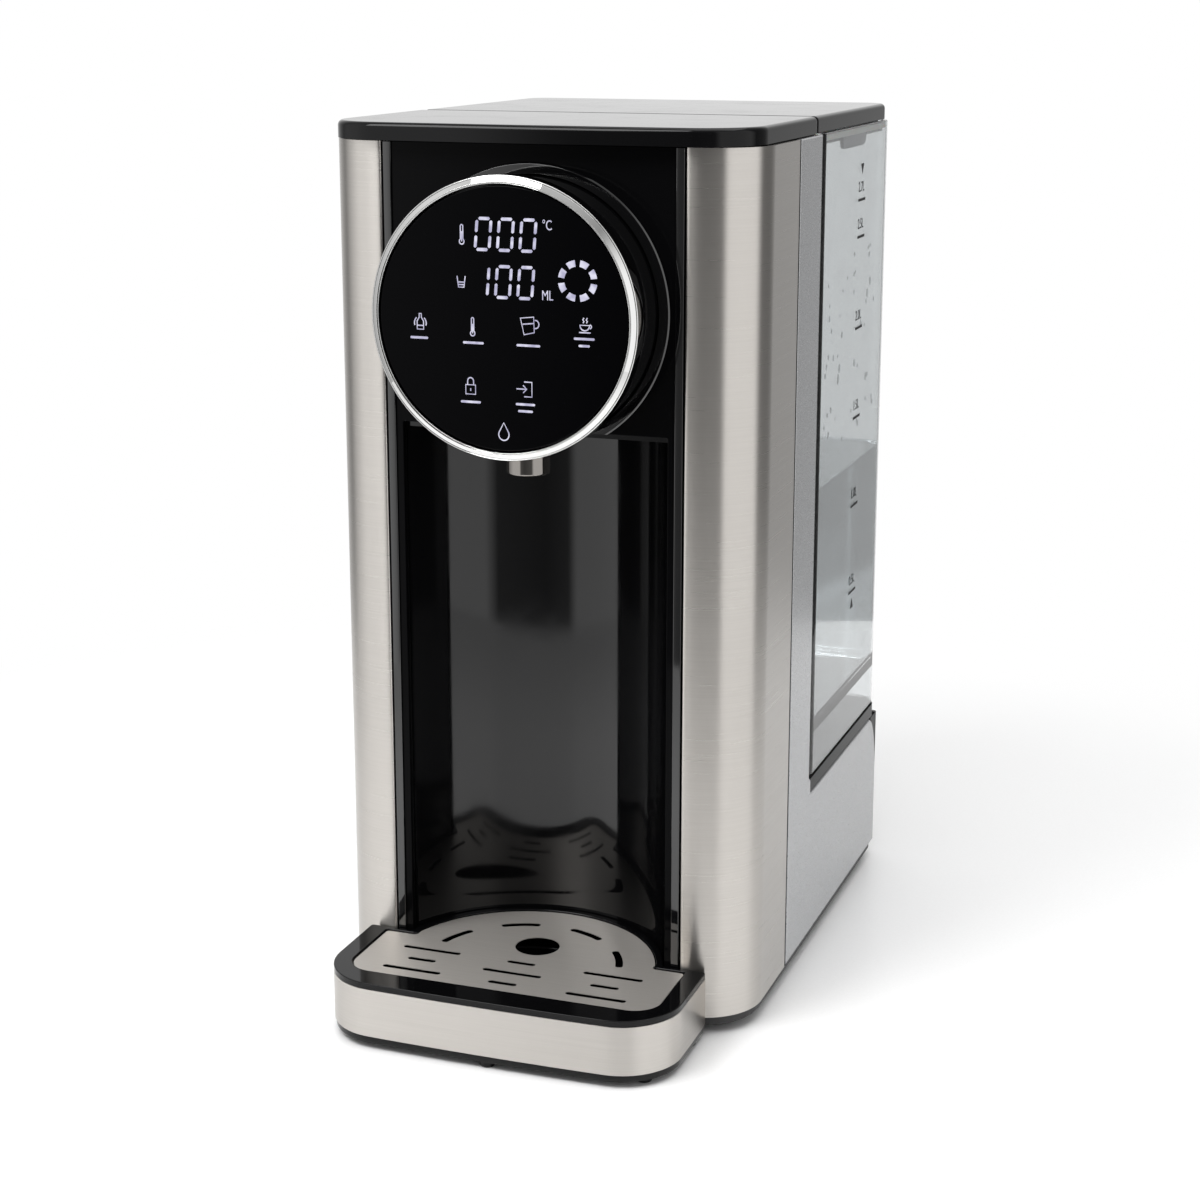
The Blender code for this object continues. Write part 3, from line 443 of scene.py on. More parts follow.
@dataclass(frozen=True)
class Lamp(Finish):
    """White light-emitting segments behind the display's face.

    The eye sees a cool lavender white, a little brighter at the middle of each segment.
    """

    dim: str = "#B9B7D6"
    bright: str = "#ECEBFF"
    strength: float = 0.85

    def shade(self, tree: bpy.types.NodeTree, place: bpy.types.NodeSocket) -> bpy.types.Node:
        """Emission that varies a little along each segment.

        Args:
            tree: The material's node tree.
            place: The surface point's Object coordinates.

        Returns:
            The shader node.
        """
        spread = add(tree, "ShaderNodeTexNoise", {"Vector": place, "Scale": per(2.4 * MM), "Detail": 1.0})
        tone = add(tree, "ShaderNodeMapRange",
                   {"Value": spread.outputs[0], "From Min": 0.35, "From Max": 0.65})
        colour = add(tree, "ShaderNodeMix", {"Factor": tone.outputs[0], 6: linear(self.dim),
                                             7: linear(self.bright)}, data_type="RGBA")
        return add(tree, "ShaderNodeBsdfPrincipled", {
            "Base Color": linear("#202024"), "Roughness": 0.5, "Emission Color": colour.outputs[2],
            "Emission Strength": self.strength})


@dataclass(frozen=True)
class CircuitBoard(Finish):
    """Glass-epoxy circuit board with solder resist.

    The eye sees green resist with slightly lighter copper tracks under it and small tinned pads.
    """

    def shade(self, tree: bpy.types.NodeTree, place: bpy.types.NodeSocket) -> bpy.types.Node:
        """Tracks from a brick pattern, pads from cells.

        Args:
            tree: The material's node tree.
            place: The surface point's Object coordinates.

        Returns:
            The shader node.
        """
        turned = add(tree, "ShaderNodeMapping", {"Vector": place, "Rotation": (math.radians(90), 0.0, 0.0)})
        track = add(tree, "ShaderNodeTexBrick", {
            "Vector": turned.outputs[0], "Color1": linear("#12452A"), "Color2": linear("#0E3A23"),
            "Mortar": linear("#2A6E43"), "Scale": 1.0, "Mortar Size": 0.25 * MM, "Brick Width": 9 * MM,
            "Row Height": 2.2 * MM})
        cells = add(tree, "ShaderNodeTexVoronoi", {"Vector": turned.outputs[0], "Scale": per(4 * MM)})
        pad = add(tree, "ShaderNodeMapRange", {"Value": cells.outputs["Distance"], "From Min": 0.16,
                                               "From Max": 0.2, "To Min": 1.0, "To Max": 0.0})
        colour = add(tree, "ShaderNodeMix", {"Factor": pad.outputs[0], 6: track.outputs[0],
                                             7: linear("#BDBBB4")}, data_type="RGBA")
        return add(tree, "ShaderNodeBsdfPrincipled", {
            "Base Color": colour.outputs[2], "Metallic": pad.outputs[0], "Roughness": 0.38})


@dataclass(frozen=True)
class PlatedSteel(Finish):
    """Pressed steel, zinc plated or left from the furnace.

    The eye sees a cool grey with a patchy crystalline bloom that changes tone from spot to spot.
    """

    dark: str = "#8E9194"
    light: str = "#C2C4C4"
    bloom_pitch: float = 5 * MM
    roughness: float = 0.34

    def shade(self, tree: bpy.types.NodeTree, place: bpy.types.NodeSocket) -> bpy.types.Node:
        """Bloom as cells of differing tone and sharpness.

        Args:
            tree: The material's node tree.
            place: The surface point's Object coordinates.

        Returns:
            The shader node.
        """
        cells = add(tree, "ShaderNodeTexVoronoi", {"Vector": place, "Scale": per(self.bloom_pitch),
                                                   "Randomness": 1.0})
        crystal = add(tree, "ShaderNodeSeparateColor", {0: cells.outputs["Color"]})
        scratch = add(tree, "ShaderNodeTexNoise", {"Vector": place, "Scale": per(0.8 * MM), "Detail": 3.0})
        both = add(tree, "ShaderNodeMix", {"Factor": 0.5, "A": crystal.outputs[0], "B": scratch.outputs[0]},
                   data_type="FLOAT")
        colour = add(tree, "ShaderNodeMix", {"Factor": both.outputs[0], 6: linear(self.dark),
                                             7: linear(self.light)}, data_type="RGBA")
        rough = add(tree, "ShaderNodeMapRange",
                    {"Value": crystal.outputs[1], "To Min": self.roughness - 0.07,
                                                 "To Max": self.roughness + 0.07})
        bump = add(tree, "ShaderNodeBump", {"Height": scratch.outputs[0], "Strength": 0.2,
                                            "Distance": 0.01 * MM})
        return add(tree, "ShaderNodeBsdfPrincipled", {
            "Base Color": colour.outputs[2], "Metallic": 1.0, "Roughness": rough.outputs[0],
            "Normal": bump.outputs[0]})


@dataclass(frozen=True)
class PaleFloor(Finish):
    """A matt white studio sweep with a trace of gloss.

    Near the object it takes soft shadows and a faint mirror; further out it turns into plain
    white light, so that no edge of the sweep shows.
    """

    near: float = 0.26
    far: float = 0.48

    def shade(self, tree: bpy.types.NodeTree, place: bpy.types.NodeSocket) -> bpy.types.Node:
        """Paper white that fades outwards into its own light.

        Args:
            tree: The material's node tree.
            place: The surface point's Object coordinates.

        Returns:
            The shader node.
        """
        grain = add(tree, "ShaderNodeTexNoise", {"Vector": place, "Scale": per(1.2 * MM), "Detail": 2.0})
        colour = add(tree, "ShaderNodeMix", {"Factor": grain.outputs[0], 6: linear("#F3F3F3"),
                                             7: linear("#FAFAFA")}, data_type="RGBA")
        paper = add(tree, "ShaderNodeBsdfPrincipled", {
            "Base Color": colour.outputs[2], "Roughness": 0.32, "Specular IOR Level": 0.5})
        reach = add(tree, "ShaderNodeVectorMath", {0: place}, operation="LENGTH")
        away = add(tree, "ShaderNodeMapRange", {"Value": reach.outputs["Value"], "From Min": self.near,
                                                "From Max": self.far}, interpolation_type="SMOOTHSTEP")
        glow = add(tree, "ShaderNodeEmission", {"Color": linear("#FFFFFF"), "Strength": 1.0})
        return add(tree, "ShaderNodeMixShader", {0: away.outputs[0], 1: paper.outputs[0],
                                                 2: glow.outputs[0]})


COLUMN_STEEL = BrushedStainless("brushed_stainless_columns", Slot.STEEL)
BAND_STEEL = BrushedStainless("brushed_stainless_band", Slot.STEEL, roughness=0.3)
GRID_STEEL = BrushedStainless("brushed_stainless_grid", Slot.STEEL, grain=Grain.ACROSS, line_pitch=0.7 * MM,
                              line_length=24 * MM, roughness=0.46, stretch=0.7)
CHROME = PolishedMetal("polished_chrome", Slot.CHROME, roughness=0.03)
NOZZLE_STEEL = PolishedMetal("polished_stainless_nozzle", Slot.CHROME, colour="#8E8A86", roughness=0.06)
PANEL_BLACK = PianoBlack("piano_black_abs_panel", Slot.GLOSS, reflectance=0.05)
DRUM_BLACK = PianoBlack("piano_black_abs_head", Slot.GLOSS, reflectance=0.45)
RAIL_BLACK = PianoBlack("piano_black_abs_trim", Slot.GLOSS, reflectance=1.0, roughness=0.03)
NICHE_BLACK = PianoBlack("piano_black_abs_niche", Slot.GLOSS, reflectance=0.5)
COVER_BLACK = PianoBlack("piano_black_abs_covers", Slot.GLOSS, reflectance=0.2, peel_depth=0.0005 * MM)
TRAY_BLACK = PianoBlack("piano_black_abs_tray", Slot.SATIN, reflectance=0.25, roughness=0.05)
SMOKED_FACE = PianoBlack("smoked_acrylic_face", Slot.DISPLAY, colour="#030304", reflectance=0.04,
                         roughness=0.03, peel_depth=0.0005 * MM)
SATIN_BLACK = MouldedPlastic("satin_black_abs", Slot.SATIN)
RUBBER = MouldedPlastic("black_rubber", Slot.RUBBER, dark="#0E0E0E", light="#1A1A1A", roughness=0.72,
                        grain_pitch=0.3 * MM)
SILICONE = MouldedPlastic("translucent_silicone", Slot.SILICONE, dark="#C9C7BF", light="#DEDCD5",
                          roughness=0.5, grain_pitch=1.2 * MM, subsurface=0.4)
NYLON = MouldedPlastic("white_nylon", Slot.NYLON, dark="#D3D1C8", light="#E6E4DC", roughness=0.48,
                       grain_pitch=0.8 * MM, subsurface=0.15)
LID_GREY = MouldedPlastic("grey_abs_tabs", Slot.SATIN, dark="#8B8B8E", light="#97979A", roughness=0.5)
INK = MouldedPlastic("black_pad_printing", Slot.SATIN, dark="#0B0B0C", light="#161617", roughness=0.6,
                     grain_pitch=0.2 * MM, grain_depth=0.004 * MM)
SILVER = SilverLacquer("silver_lacquered_abs", Slot.SILVER)
CLEAR = ClearMoulding("clear_copolyester", Slot.CLEAR)
WATER = ClearMoulding("still_water", Slot.CLEAR, colour="#DFE5E7", roughness=0.0, refraction=1.333,
                      wave_pitch=25 * MM)
LAMP = Lamp("display_lamps", Slot.DISPLAY)
BOARD = CircuitBoard("green_circuit_board", Slot.BOARD)
ZINC = PlatedSteel("zinc_plated_steel", Slot.ZINC)
HEATER = PlatedSteel("annealed_heater_steel", Slot.HEATER, dark="#8F867A", light="#B5AEA4",
                     bloom_pitch=9 * MM, roughness=0.4)
FLOOR = PaleFloor("studio_sweep", Slot.SILVER)


# ---------------------------------------------------------------- mesh tools
def new_verts(made: dict[str, Any]) -> list[BMVert]:
    """The vertices that an extrusion or a spin returned."""
    return [item for item in made["geom"] if isinstance(item, BMVert)]


def plan(points: Sequence[tuple[float, float]], radii: Sequence[float] | float = 0.0,
         segments: int = 12) -> BMesh:
    """Makes one flat face from a few corners, each rounded.

    Args:
        points: Corners in order, in the XY plane.
        radii: One fillet radius for each corner, or one for all; zero leaves a corner sharp.
        segments: Steps in each fillet.

    Returns:
        A mesh with one face at height zero.
    """
    mesh = bmesh.new()
    corners = [mesh.verts.new((x, y, 0.0)) for x, y in points]
    mesh.faces.new(corners)
    each = [radii] * len(corners) if isinstance(radii, float) else list(radii)
    round_corners(mesh, list(zip(corners, each)), segments)
    return mesh


def round_corners(mesh: BMesh, corners: Iterable[tuple[BMVert, float]], segments: int) -> None:
    """Rounds single corners of a flat face or a line, each by its own radius.

    Args:
        mesh: The mesh that holds the corners.
        corners: Each vertex with its fillet radius.
        segments: Steps in each fillet.
    """
    for corner, radius in corners:
        if radius <= 0:
            continue
        first, second = [(edge.other_vert(corner).co - corner.co) for edge in corner.link_edges]
        reach = radius / math.tan(first.angle(second) / 2)
        bmesh.ops.bevel(mesh, geom=[corner], affect="VERTICES", offset=reach, segments=segments,
                        profile=0.5, material=-1)


def oval(centre: tuple[float, float], length: float, width: float, segments: int = 8) -> BMesh:
    """A flat slot outline with round ends, its length along X.

    Args:
        centre: The middle of the slot.
        length: Its whole length.
        width: Its width.
        segments: Steps in each quarter of an end.

    Returns:
        A mesh with one face.
    """
    x, y = centre
    half, rim = length / 2, width / 2
    return plan([(x - half, y - rim), (x + half, y - rim), (x + half, y + rim), (x - half, y + rim)],
                rim * 0.999, segments)


def raise_up(mesh: BMesh, bottom: float, top: float) -> BMesh:
    """Turns the mesh's flat faces at height zero into a solid between two heights.

    Args:
        mesh: One or more flat faces at height zero.
        bottom: The lower height.
        top: The upper height.

    Returns:
        The same mesh, closed.
    """
    bmesh.ops.translate(mesh, vec=(0, 0, bottom), verts=mesh.verts)
    made = bmesh.ops.extrude_face_region(mesh, geom=mesh.faces[:])
    bmesh.ops.translate(mesh, vec=(0, 0, top - bottom), verts=new_verts(made))
    bmesh.ops.recalc_face_normals(mesh, faces=mesh.faces)
    return mesh


def block(low: Sequence[float], high: Sequence[float]) -> BMesh:
    """A cuboid between two corners.

    Args:
        low: The lowest corner.
        high: The highest corner.

    Returns:
        A closed box.
    """
    low, high = Vector(low), Vector(high)
    mesh = bmesh.new()
    bmesh.ops.create_cube(mesh, size=1.0)
    bmesh.ops.scale(mesh, vec=high - low, verts=mesh.verts)
    bmesh.ops.translate(mesh, vec=(low + high) / 2, verts=mesh.verts)
    return mesh


def turn_profile(points: Sequence[tuple[float, float]], radii: Sequence[float] | float = 0.0,
                 steps: int = 96, segments: int = 4) -> BMesh:
    """Turns a closed profile about Z.

    Args:
        points: (radius, height) corners in order; the profile closes on itself.
        radii: One fillet radius for each corner, or one for all corners off the axis.
        steps: Steps round the axis.
        segments: Steps in each fillet.

    Returns:
        A closed solid.
    """
    flat = plan(points, [0.0] * len(points))
    each = [radii] * len(points) if isinstance(radii, float) else list(radii)
    corners = [(vert, size if vert.co.x > TINY else 0.0) for vert, size in zip(flat.verts[:], each)]
    round_corners(flat, corners, segments)
    bmesh.ops.rotate(flat, matrix=Matrix.Rotation(math.radians(90), 3, "X"), verts=flat.verts)
    bmesh.ops.delete(flat, geom=flat.faces[:], context="FACES_ONLY")
    on_axis = [edge for edge in flat.edges if all(abs(vert.co.x) < TINY for vert in edge.verts)]
    bmesh.ops.delete(flat, geom=on_axis, context="EDGES")
    bmesh.ops.spin(flat, geom=flat.verts[:] + flat.edges[:], cent=(0, 0, 0), axis=(0, 0, 1), dvec=(0, 0, 0),
                   angle=math.tau, steps=steps, use_merge=True, use_duplicate=False)
    bmesh.ops.remove_doubles(flat, verts=flat.verts, dist=TINY)
    bmesh.ops.recalc_face_normals(flat, faces=flat.faces)
    return flat


def rod(radius: float, bottom: float, top: float, steps: int = 64) -> BMesh:
    """A plain round bar about Z, used to cut with."""
    return turn_profile([(0, bottom), (radius, bottom), (radius, top), (0, top)], 0.0, steps)


def moved(mesh: BMesh, place: Sequence[float] = (0, 0, 0), turn: Matrix | None = None) -> BMesh:
    """The mesh turned and then moved.

    Args:
        mesh: The mesh.
        place: How far it moves.
        turn: How it turns first, if it does.

    Returns:
        The same mesh.
    """
    matrix = Matrix.Translation(place) @ (turn or Matrix.Identity(4))
    bmesh.ops.transform(mesh, matrix=matrix, verts=mesh.verts)
    return mesh


def mirrored(mesh: BMesh) -> BMesh:
    """A copy of the mesh on the other side of the YZ plane, facing outwards.

    Args:
        mesh: The mesh, which stays as it is.

    Returns:
        The copy.
    """
    other = mesh.copy()
    bmesh.ops.scale(other, vec=(-1, 1, 1), verts=other.verts)
    bmesh.ops.reverse_faces(other, faces=other.faces)
    return other


def gather(meshes: Iterable[BMesh]) -> BMesh:
    """Several separate solids as one mesh.

    Args:
        meshes: The solids; they are freed.

    Returns:
        One mesh that holds them all.
    """
    whole = bmesh.new()
    for mesh in meshes:
        data = bpy.data.meshes.new("part")
        mesh.to_mesh(data)
        mesh.free()
        whole.from_mesh(data)
        bpy.data.meshes.remove(data)
    return whole


def combine(mesh: BMesh, tool: BMesh, cut: Cut = Cut.REMOVE) -> BMesh:
    """Cuts one solid with another, or joins them.

    Args:
        mesh: The solid that is kept; it is freed.
        tool: The solid that it meets; it is freed.
        cut: What the tool does.

    Returns:
        The new solid.
    """
    pair = []
    for source in (mesh, tool):
        data = bpy.data.meshes.new("blank")
        source.to_mesh(data)
        source.free()
        item = bpy.data.objects.new("blank", data)
        bpy.context.scene.collection.objects.link(item)
        pair.append(item)
    change = pair[0].modifiers.new("shape", "BOOLEAN")
    change.operation, change.solver, change.object = cut.value, "EXACT", pair[1]
    bpy.context.view_layer.update()
    shaped = pair[0].evaluated_get(bpy.context.evaluated_depsgraph_get())
    result = bmesh.new()
    result.from_mesh(shaped.to_mesh())
    shaped.to_mesh_clear()
    for item in pair:
        data = item.data
        bpy.data.objects.remove(item)
        bpy.data.meshes.remove(data)
    bmesh.ops.remove_doubles(result, verts=result.verts, dist=TINY)
    return result


def soften(mesh: BMesh, width: float, segments: int = 2, angle: float = 35.0,
           where: Any = None) -> BMesh:
    """Rounds a solid's sharp edges.

    Args:
        mesh: The solid.
        width: How far the rounding reaches from an edge.
        segments: Steps across the rounding.
        angle: Edges that turn by less, in degrees, stay as they are.
        where: A test that an edge has to pass, or None for every sharp edge.

    Returns:
        The same mesh.
    """
    limit = math.radians(angle)
    sharp = [edge for edge in mesh.edges if len(edge.link_faces) == 2
             and edge.calc_face_angle(0.0) > limit and (where is None or where(edge))]
    bmesh.ops.bevel(mesh, geom=sharp, affect="EDGES", offset=width, offset_type="OFFSET", segments=segments,
                    profile=0.5, material=-1, clamp_overlap=True, miter_outer="ARC")
    return mesh


def level(height: float) -> Any:
    """A test for edges that lie at a height."""
    return lambda edge: all(abs(vert.co.z - height) < TINY * 10 for vert in edge.verts)


def sweep_up(mesh: BMesh, height: float) -> BMesh:
    """Raises an open line into an upright sheet.

    Args:
        mesh: The line.
        height: How far it is raised.

    Returns:
        The same mesh.
    """
    made = bmesh.ops.extrude_edge_only(mesh, edges=mesh.edges[:])
    bmesh.ops.translate(mesh, vec=(0, 0, height), verts=new_verts(made))
    return mesh


def thicken(mesh: BMesh, thickness: float, inside: Vector) -> BMesh:
    """Gives an upright sheet a wall on the side of a point, leaving the other side in place.

    Args:
        mesh: The sheet.
        thickness: The wall.
        inside: A point on the side where the wall goes.

    Returns:
        The same mesh, closed.
    """
    bmesh.ops.recalc_face_normals(mesh, faces=mesh.faces)
    mesh.faces.ensure_lookup_table()
    first = mesh.faces[0]
    if first.normal.dot(inside - first.calc_center_median()) > 0:
        bmesh.ops.reverse_faces(mesh, faces=mesh.faces)
    bmesh.ops.solidify(mesh, geom=mesh.faces[:], thickness=thickness)
    bmesh.ops.recalc_face_normals(mesh, faces=mesh.faces)
    return mesh


def line_to(mesh: BMesh, start: BMVert, x: float, y: float) -> BMVert:
    """Draws a straight line on from a vertex, at its height.

    Args:
        mesh: The mesh.
        start: The vertex to draw from.
        x: Where the line ends, across.
        y: Where the line ends, in depth.

    Returns:
        The vertex at its end.
    """
    end = bmesh.ops.extrude_vert_indiv(mesh, verts=[start])["verts"][0]
    end.co = (x, y, start.co.z)
    return end


def arc_to(mesh: BMesh, start: BMVert, centre: tuple[float, float], angle: float, steps: int) -> BMVert:
    """Draws an arc on from a vertex, by an angle in degrees, anticlockwise from above.

    Args:
        mesh: The mesh.
        start: The vertex to draw from.
        centre: The arc's centre.
        angle: How far it turns.
        steps: Steps along it.

    Returns:
        The vertex at its end.
    """
    made = bmesh.ops.spin(mesh, geom=[start], cent=(*centre, start.co.z), axis=(0, 0, 1), dvec=(0, 0, 0),
                          angle=math.radians(angle), steps=steps, use_merge=False, use_duplicate=False)
    return [item for item in made["geom_last"] if isinstance(item, BMVert)][0]


def strokes(lines: Iterable[Sequence[tuple[float, float]]], width: float, height: float) -> BMesh:
    """Line drawings as low rounded ridges on the XY plane.

    Args:
        lines: Each line's points; a line that ends where it starts is a loop.
        width: The ridge's width.
        height: How far the ridge stands above the plane.

    Returns:
        One mesh with a closed solid for each line.
    """
    curve = bpy.data.curves.new("strokes", "CURVE")
    curve.dimensions = "3D"
    curve.bevel_depth, curve.bevel_resolution, curve.use_fill_caps = width / 2, 2, True
    for points in lines:
        closed = math.dist(points[0], points[-1]) < TINY
        kept = points[:-1] if closed else points
        spline = curve.splines.new("POLY")
        spline.points.add(len(kept) - 1)
        for knot, (x, y) in zip(spline.points, kept):
            knot.co = (x, y, 0.0, 1.0)
        spline.use_cyclic_u = closed
    item = bpy.data.objects.new("strokes", curve)
    bpy.context.scene.collection.objects.link(item)
    bpy.context.view_layer.update()
    shaped = item.evaluated_get(bpy.context.evaluated_depsgraph_get())
    result = bmesh.new()
    result.from_mesh(shaped.to_mesh())
    shaped.to_mesh_clear()
    bpy.data.objects.remove(item)
    bpy.data.curves.remove(curve)
    bmesh.ops.scale(result, vec=(1, 1, 2 * height / width), verts=result.verts)
    bmesh.ops.recalc_face_normals(result, faces=result.faces)
    return result


def ring_points(centre: tuple[float, float], radius: float, start: float = 0.0, end: float = 360.0,
                steps: int = 24) -> list[tuple[float, float]]:
    """Points along an arc, in degrees, both ends included."""
    angles = [math.radians(start + (end - start) * i / steps) for i in range(steps + 1)]
    return [(centre[0] + radius * math.cos(a), centre[1] + radius * math.sin(a)) for a in angles]


def lettering(text: str, size: float, place: tuple[float, float], thickness: float,
              condense: float = 1.0) -> BMesh:
    """Numbers or unit signs as thin plates on the XY plane, centred on a place.

    Args:
        text: What it says.
        size: The height of the type.
        place: Its middle.
        thickness: The plates' thickness.
        condense: Its width as a share of the normal width.

    Returns:
        One mesh of closed plates.
    """
    curve = bpy.data.curves.new("lettering", "FONT")
    curve.body, curve.size, curve.extrude = text, size, thickness / 2
    curve.align_x, curve.align_y = "CENTER", "CENTER"
    item = bpy.data.objects.new("lettering", curve)
    bpy.context.scene.collection.objects.link(item)
    bpy.context.view_layer.update()
    shaped = item.evaluated_get(bpy.context.evaluated_depsgraph_get())
    result = bmesh.new()
    result.from_mesh(shaped.to_mesh())
    shaped.to_mesh_clear()
    bpy.data.objects.remove(item)
    bpy.data.curves.remove(curve)
    bmesh.ops.remove_doubles(result, verts=result.verts, dist=TINY)
    bmesh.ops.scale(result, vec=(condense, 1.0, 1.0), verts=result.verts)
    return moved(result, (*place, 0.0))


# ---------------------------------------------------------------- workshop
class Workshop:
    """Turns meshes into named pieces on their bodies, and reports each one."""

    def __init__(self) -> None:
        """Starts with no materials made."""
        self.materials: dict[str, bpy.types.Material] = {}
        self.count = 0

    def material(self, finish: Finish) -> bpy.types.Material:
        """The finish's material, made once.

        Args:
            finish: The finish.

        Returns:
            Its material.
        """
        if finish.name not in self.materials:
            self.materials[finish.name] = finish.build()
        return self.materials[finish.name]

    def place(self, name: str, mesh: BMesh, finish: Finish, body: Body, *nodes: str,
              angle: float = 32.0) -> bpy.types.Object:
        """Makes one piece.

        Args:
            name: The piece's name.
            mesh: Its mesh, in place; it is freed.
            finish: What it is made of.
            body: The body it rides on.
            *nodes: CAD nodes that it stands for.
            angle: Edges that turn by more, in degrees, stay sharp.

        Returns:
            The new object.
        """
        data = bpy.data.meshes.new(name)
        mesh.to_mesh(data)
        mesh.free()
        data.shade_smooth()
        data.set_sharp_from_angle(angle=math.radians(angle))
        data.materials.append(self.material(finish))
        piece = bpy.data.objects.new(name, data)
        bpy.context.scene.collection.objects.link(piece)
        flats = piece.modifiers.new("flats", "WEIGHTED_NORMAL")
        flats.keep_sharp = True
        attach(piece, body.value)
        if nodes:
            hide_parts(*nodes)
        self.count += 1
        LOG.info("%-26s %6d faces on %s", name, len(data.polygons), body.value)
        return piece

    def refine(self, node: str, finish: Finish, edge: float = 0.0) -> bpy.types.Object:
        """Makes a finished copy of a CAD node: merged, smooth where it is round, edges broken.

        Args:
            node: The CAD node's name.
            finish: What it is made of.
            edge: How far its sharp edges are broken; zero leaves them.

        Returns:
            The new object.
        """
        source = frame["nodes"][node]
        mesh = bmesh.new()
        mesh.from_mesh(source.data)
        bmesh.ops.remove_doubles(mesh, verts=mesh.verts, dist=2 * TINY)
        bmesh.ops.dissolve_limit(mesh, angle_limit=math.radians(0.5), verts=mesh.verts, edges=mesh.edges)
        if edge > 0:
            soften(mesh, edge, 2)
        return self.place(f"{node}_finished", mesh, finish, Body(source["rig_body"]), node)


# ---------------------------------------------------------------- casing
@dataclass
class Casing:
    """Brushed columns, silver side panels, gloss black front and the cup niche."""

    shop: Workshop
    corner: float = 21.4 * MM
    sheet: float = 1.0 * MM
    fold: float = 0.8 * MM
    hem: float = 2.1 * MM
    seam_depth: float = 1.5 * MM
    seam_gap: float = 0.05 * MM
    rail_depth: float = 0.8 * MM
    rail_width: float = 2.8 * MM
    rail_round: float = 0.3 * MM
    niche_radius: float = 48.7 * MM
    niche_wall: float = 2.0 * MM
    mouth_half: float = 46.6 * MM
    clearance: float = 0.4 * MM

    def build(self) -> None:
        """Makes every piece of the casing."""
        self.columns()
        self.front_panel()
        self.niche()
        for node in ("side_panel_left", "side_panel_right"):
            self.shop.refine(node, SILVER)
        self.shop.refine("rear_cover", SATIN_BLACK)
        self.shop.refine("inner_frame", SATIN_BLACK)

    def columns(self) -> None:
        """Folded sheet round each front corner, with a rolled inner edge and a rear hem."""
        low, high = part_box("front_column_right")
        line = bmesh.new()
        start = line.verts.new((low.x, high.y - (high.y - low.y) * 0.948, low.z))
        front = line_to(line, start, low.x, low.y)
        bend = line_to(line, front, high.x - self.corner, low.y)
        side = arc_to(line, bend, (high.x - self.corner, low.y + self.corner), 90, 32)
        rear = line_to(line, side, high.x, high.y)
        line_to(line, rear, high.x - self.hem, high.y)
        round_corners(line, [(front, self.fold), (rear, self.fold)], 4)
        sheet = thicken(sweep_up(line, high.z - low.z), self.sheet, Vector((low.x, high.y, low.z)))
        soften(sheet, 0.25 * MM, 2, 60)
        left = mirrored(sheet)
        self.shop.place("column_sheet_right", sheet, COLUMN_STEEL, Body.HOUSING, "front_column_right")
        self.shop.place("column_sheet_left", left, COLUMN_STEEL, Body.HOUSING, "front_column_left")
        panel_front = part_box("side_panel_right")[0].y
        seam = block((high.x - self.seam_depth, high.y + self.seam_gap, low.z),
                     (high.x - self.seam_gap, panel_front - self.seam_gap, high.z))
        other = mirrored(seam)
        self.shop.place("seam_strip_right", seam, RUBBER, Body.HOUSING)
        self.shop.place("seam_strip_left", other, RUBBER, Body.HOUSING)

    def front_panel(self) -> None:
        """A flat gloss panel between two raised rails, open for the niche and the head."""
        low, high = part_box("front_panel")
        head_low, head_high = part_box("head_housing")
        glass_low, glass_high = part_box("display_glass")
        niche_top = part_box("niche_shell")[1].z
        inner = high.x - self.rail_width
        flat = low.y + self.rail_depth
        panel = block((-high.x, flat, low.z), high)
        for side, name in ((1, "panel_rail_right"), (-1, "panel_rail_left")):
            rail = soften(block((inner, low.y, low.z), (high.x, flat, high.z)), self.rail_round, 3)
            rail = rail if side > 0 else mirrored(rail)
            self.shop.place(name, rail, RAIL_BLACK, Body.HOUSING)
        panel = combine(panel, block((-self.mouth_half, -1, -1), (self.mouth_half, 1, niche_top)))
        radius = (head_high.x - head_low.x) / 2 + self.clearance
        centre = (0, 0, (glass_low.z + glass_high.z) / 2)
        panel = combine(panel, moved(rod(radius, 0.05, 0.1, 160), centre, FACING_FRONT))
        soften(panel, 0.3 * MM, 2)
        self.shop.place("front_fascia", panel, PANEL_BLACK, Body.HOUSING, "front_panel")

    def niche(self) -> None:
        """A half-round wall behind the cup, with a flat ceiling that the head passes through."""
        low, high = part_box("niche_shell")
        head_low, head_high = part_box("head_housing")
        glass_low, glass_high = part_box("display_glass")
        outer = self.niche_radius + self.niche_wall
        centre_y = high.y - outer
        shell = moved(rod(outer, low.z, high.z, 256), (0, centre_y, 0))
        bmesh.ops.bisect_plane(shell, geom=shell.verts[:] + shell.edges[:] + shell.faces[:], dist=TINY,
                               plane_co=(0, low.y, 0), plane_no=(0, -1, 0), clear_outer=True)
        bmesh.ops.holes_fill(shell, edges=[edge for edge in shell.edges if edge.is_boundary], sides=0)
        shell = combine(shell, moved(rod(self.niche_radius, -1, high.z - self.niche_wall, 256),
                                     (0, centre_y, 0)))
        radius = (head_high.x - head_low.x) / 2 + self.clearance
        centre = (0, 0, (glass_low.z + glass_high.z) / 2)
        reach = -head_high.y - self.clearance
        shell = combine(shell, moved(rod(radius, reach, 0.1, 160), centre, FACING_FRONT))
        self.shop.place("niche_wall", shell, NICHE_BLACK, Body.HOUSING, "niche_shell")


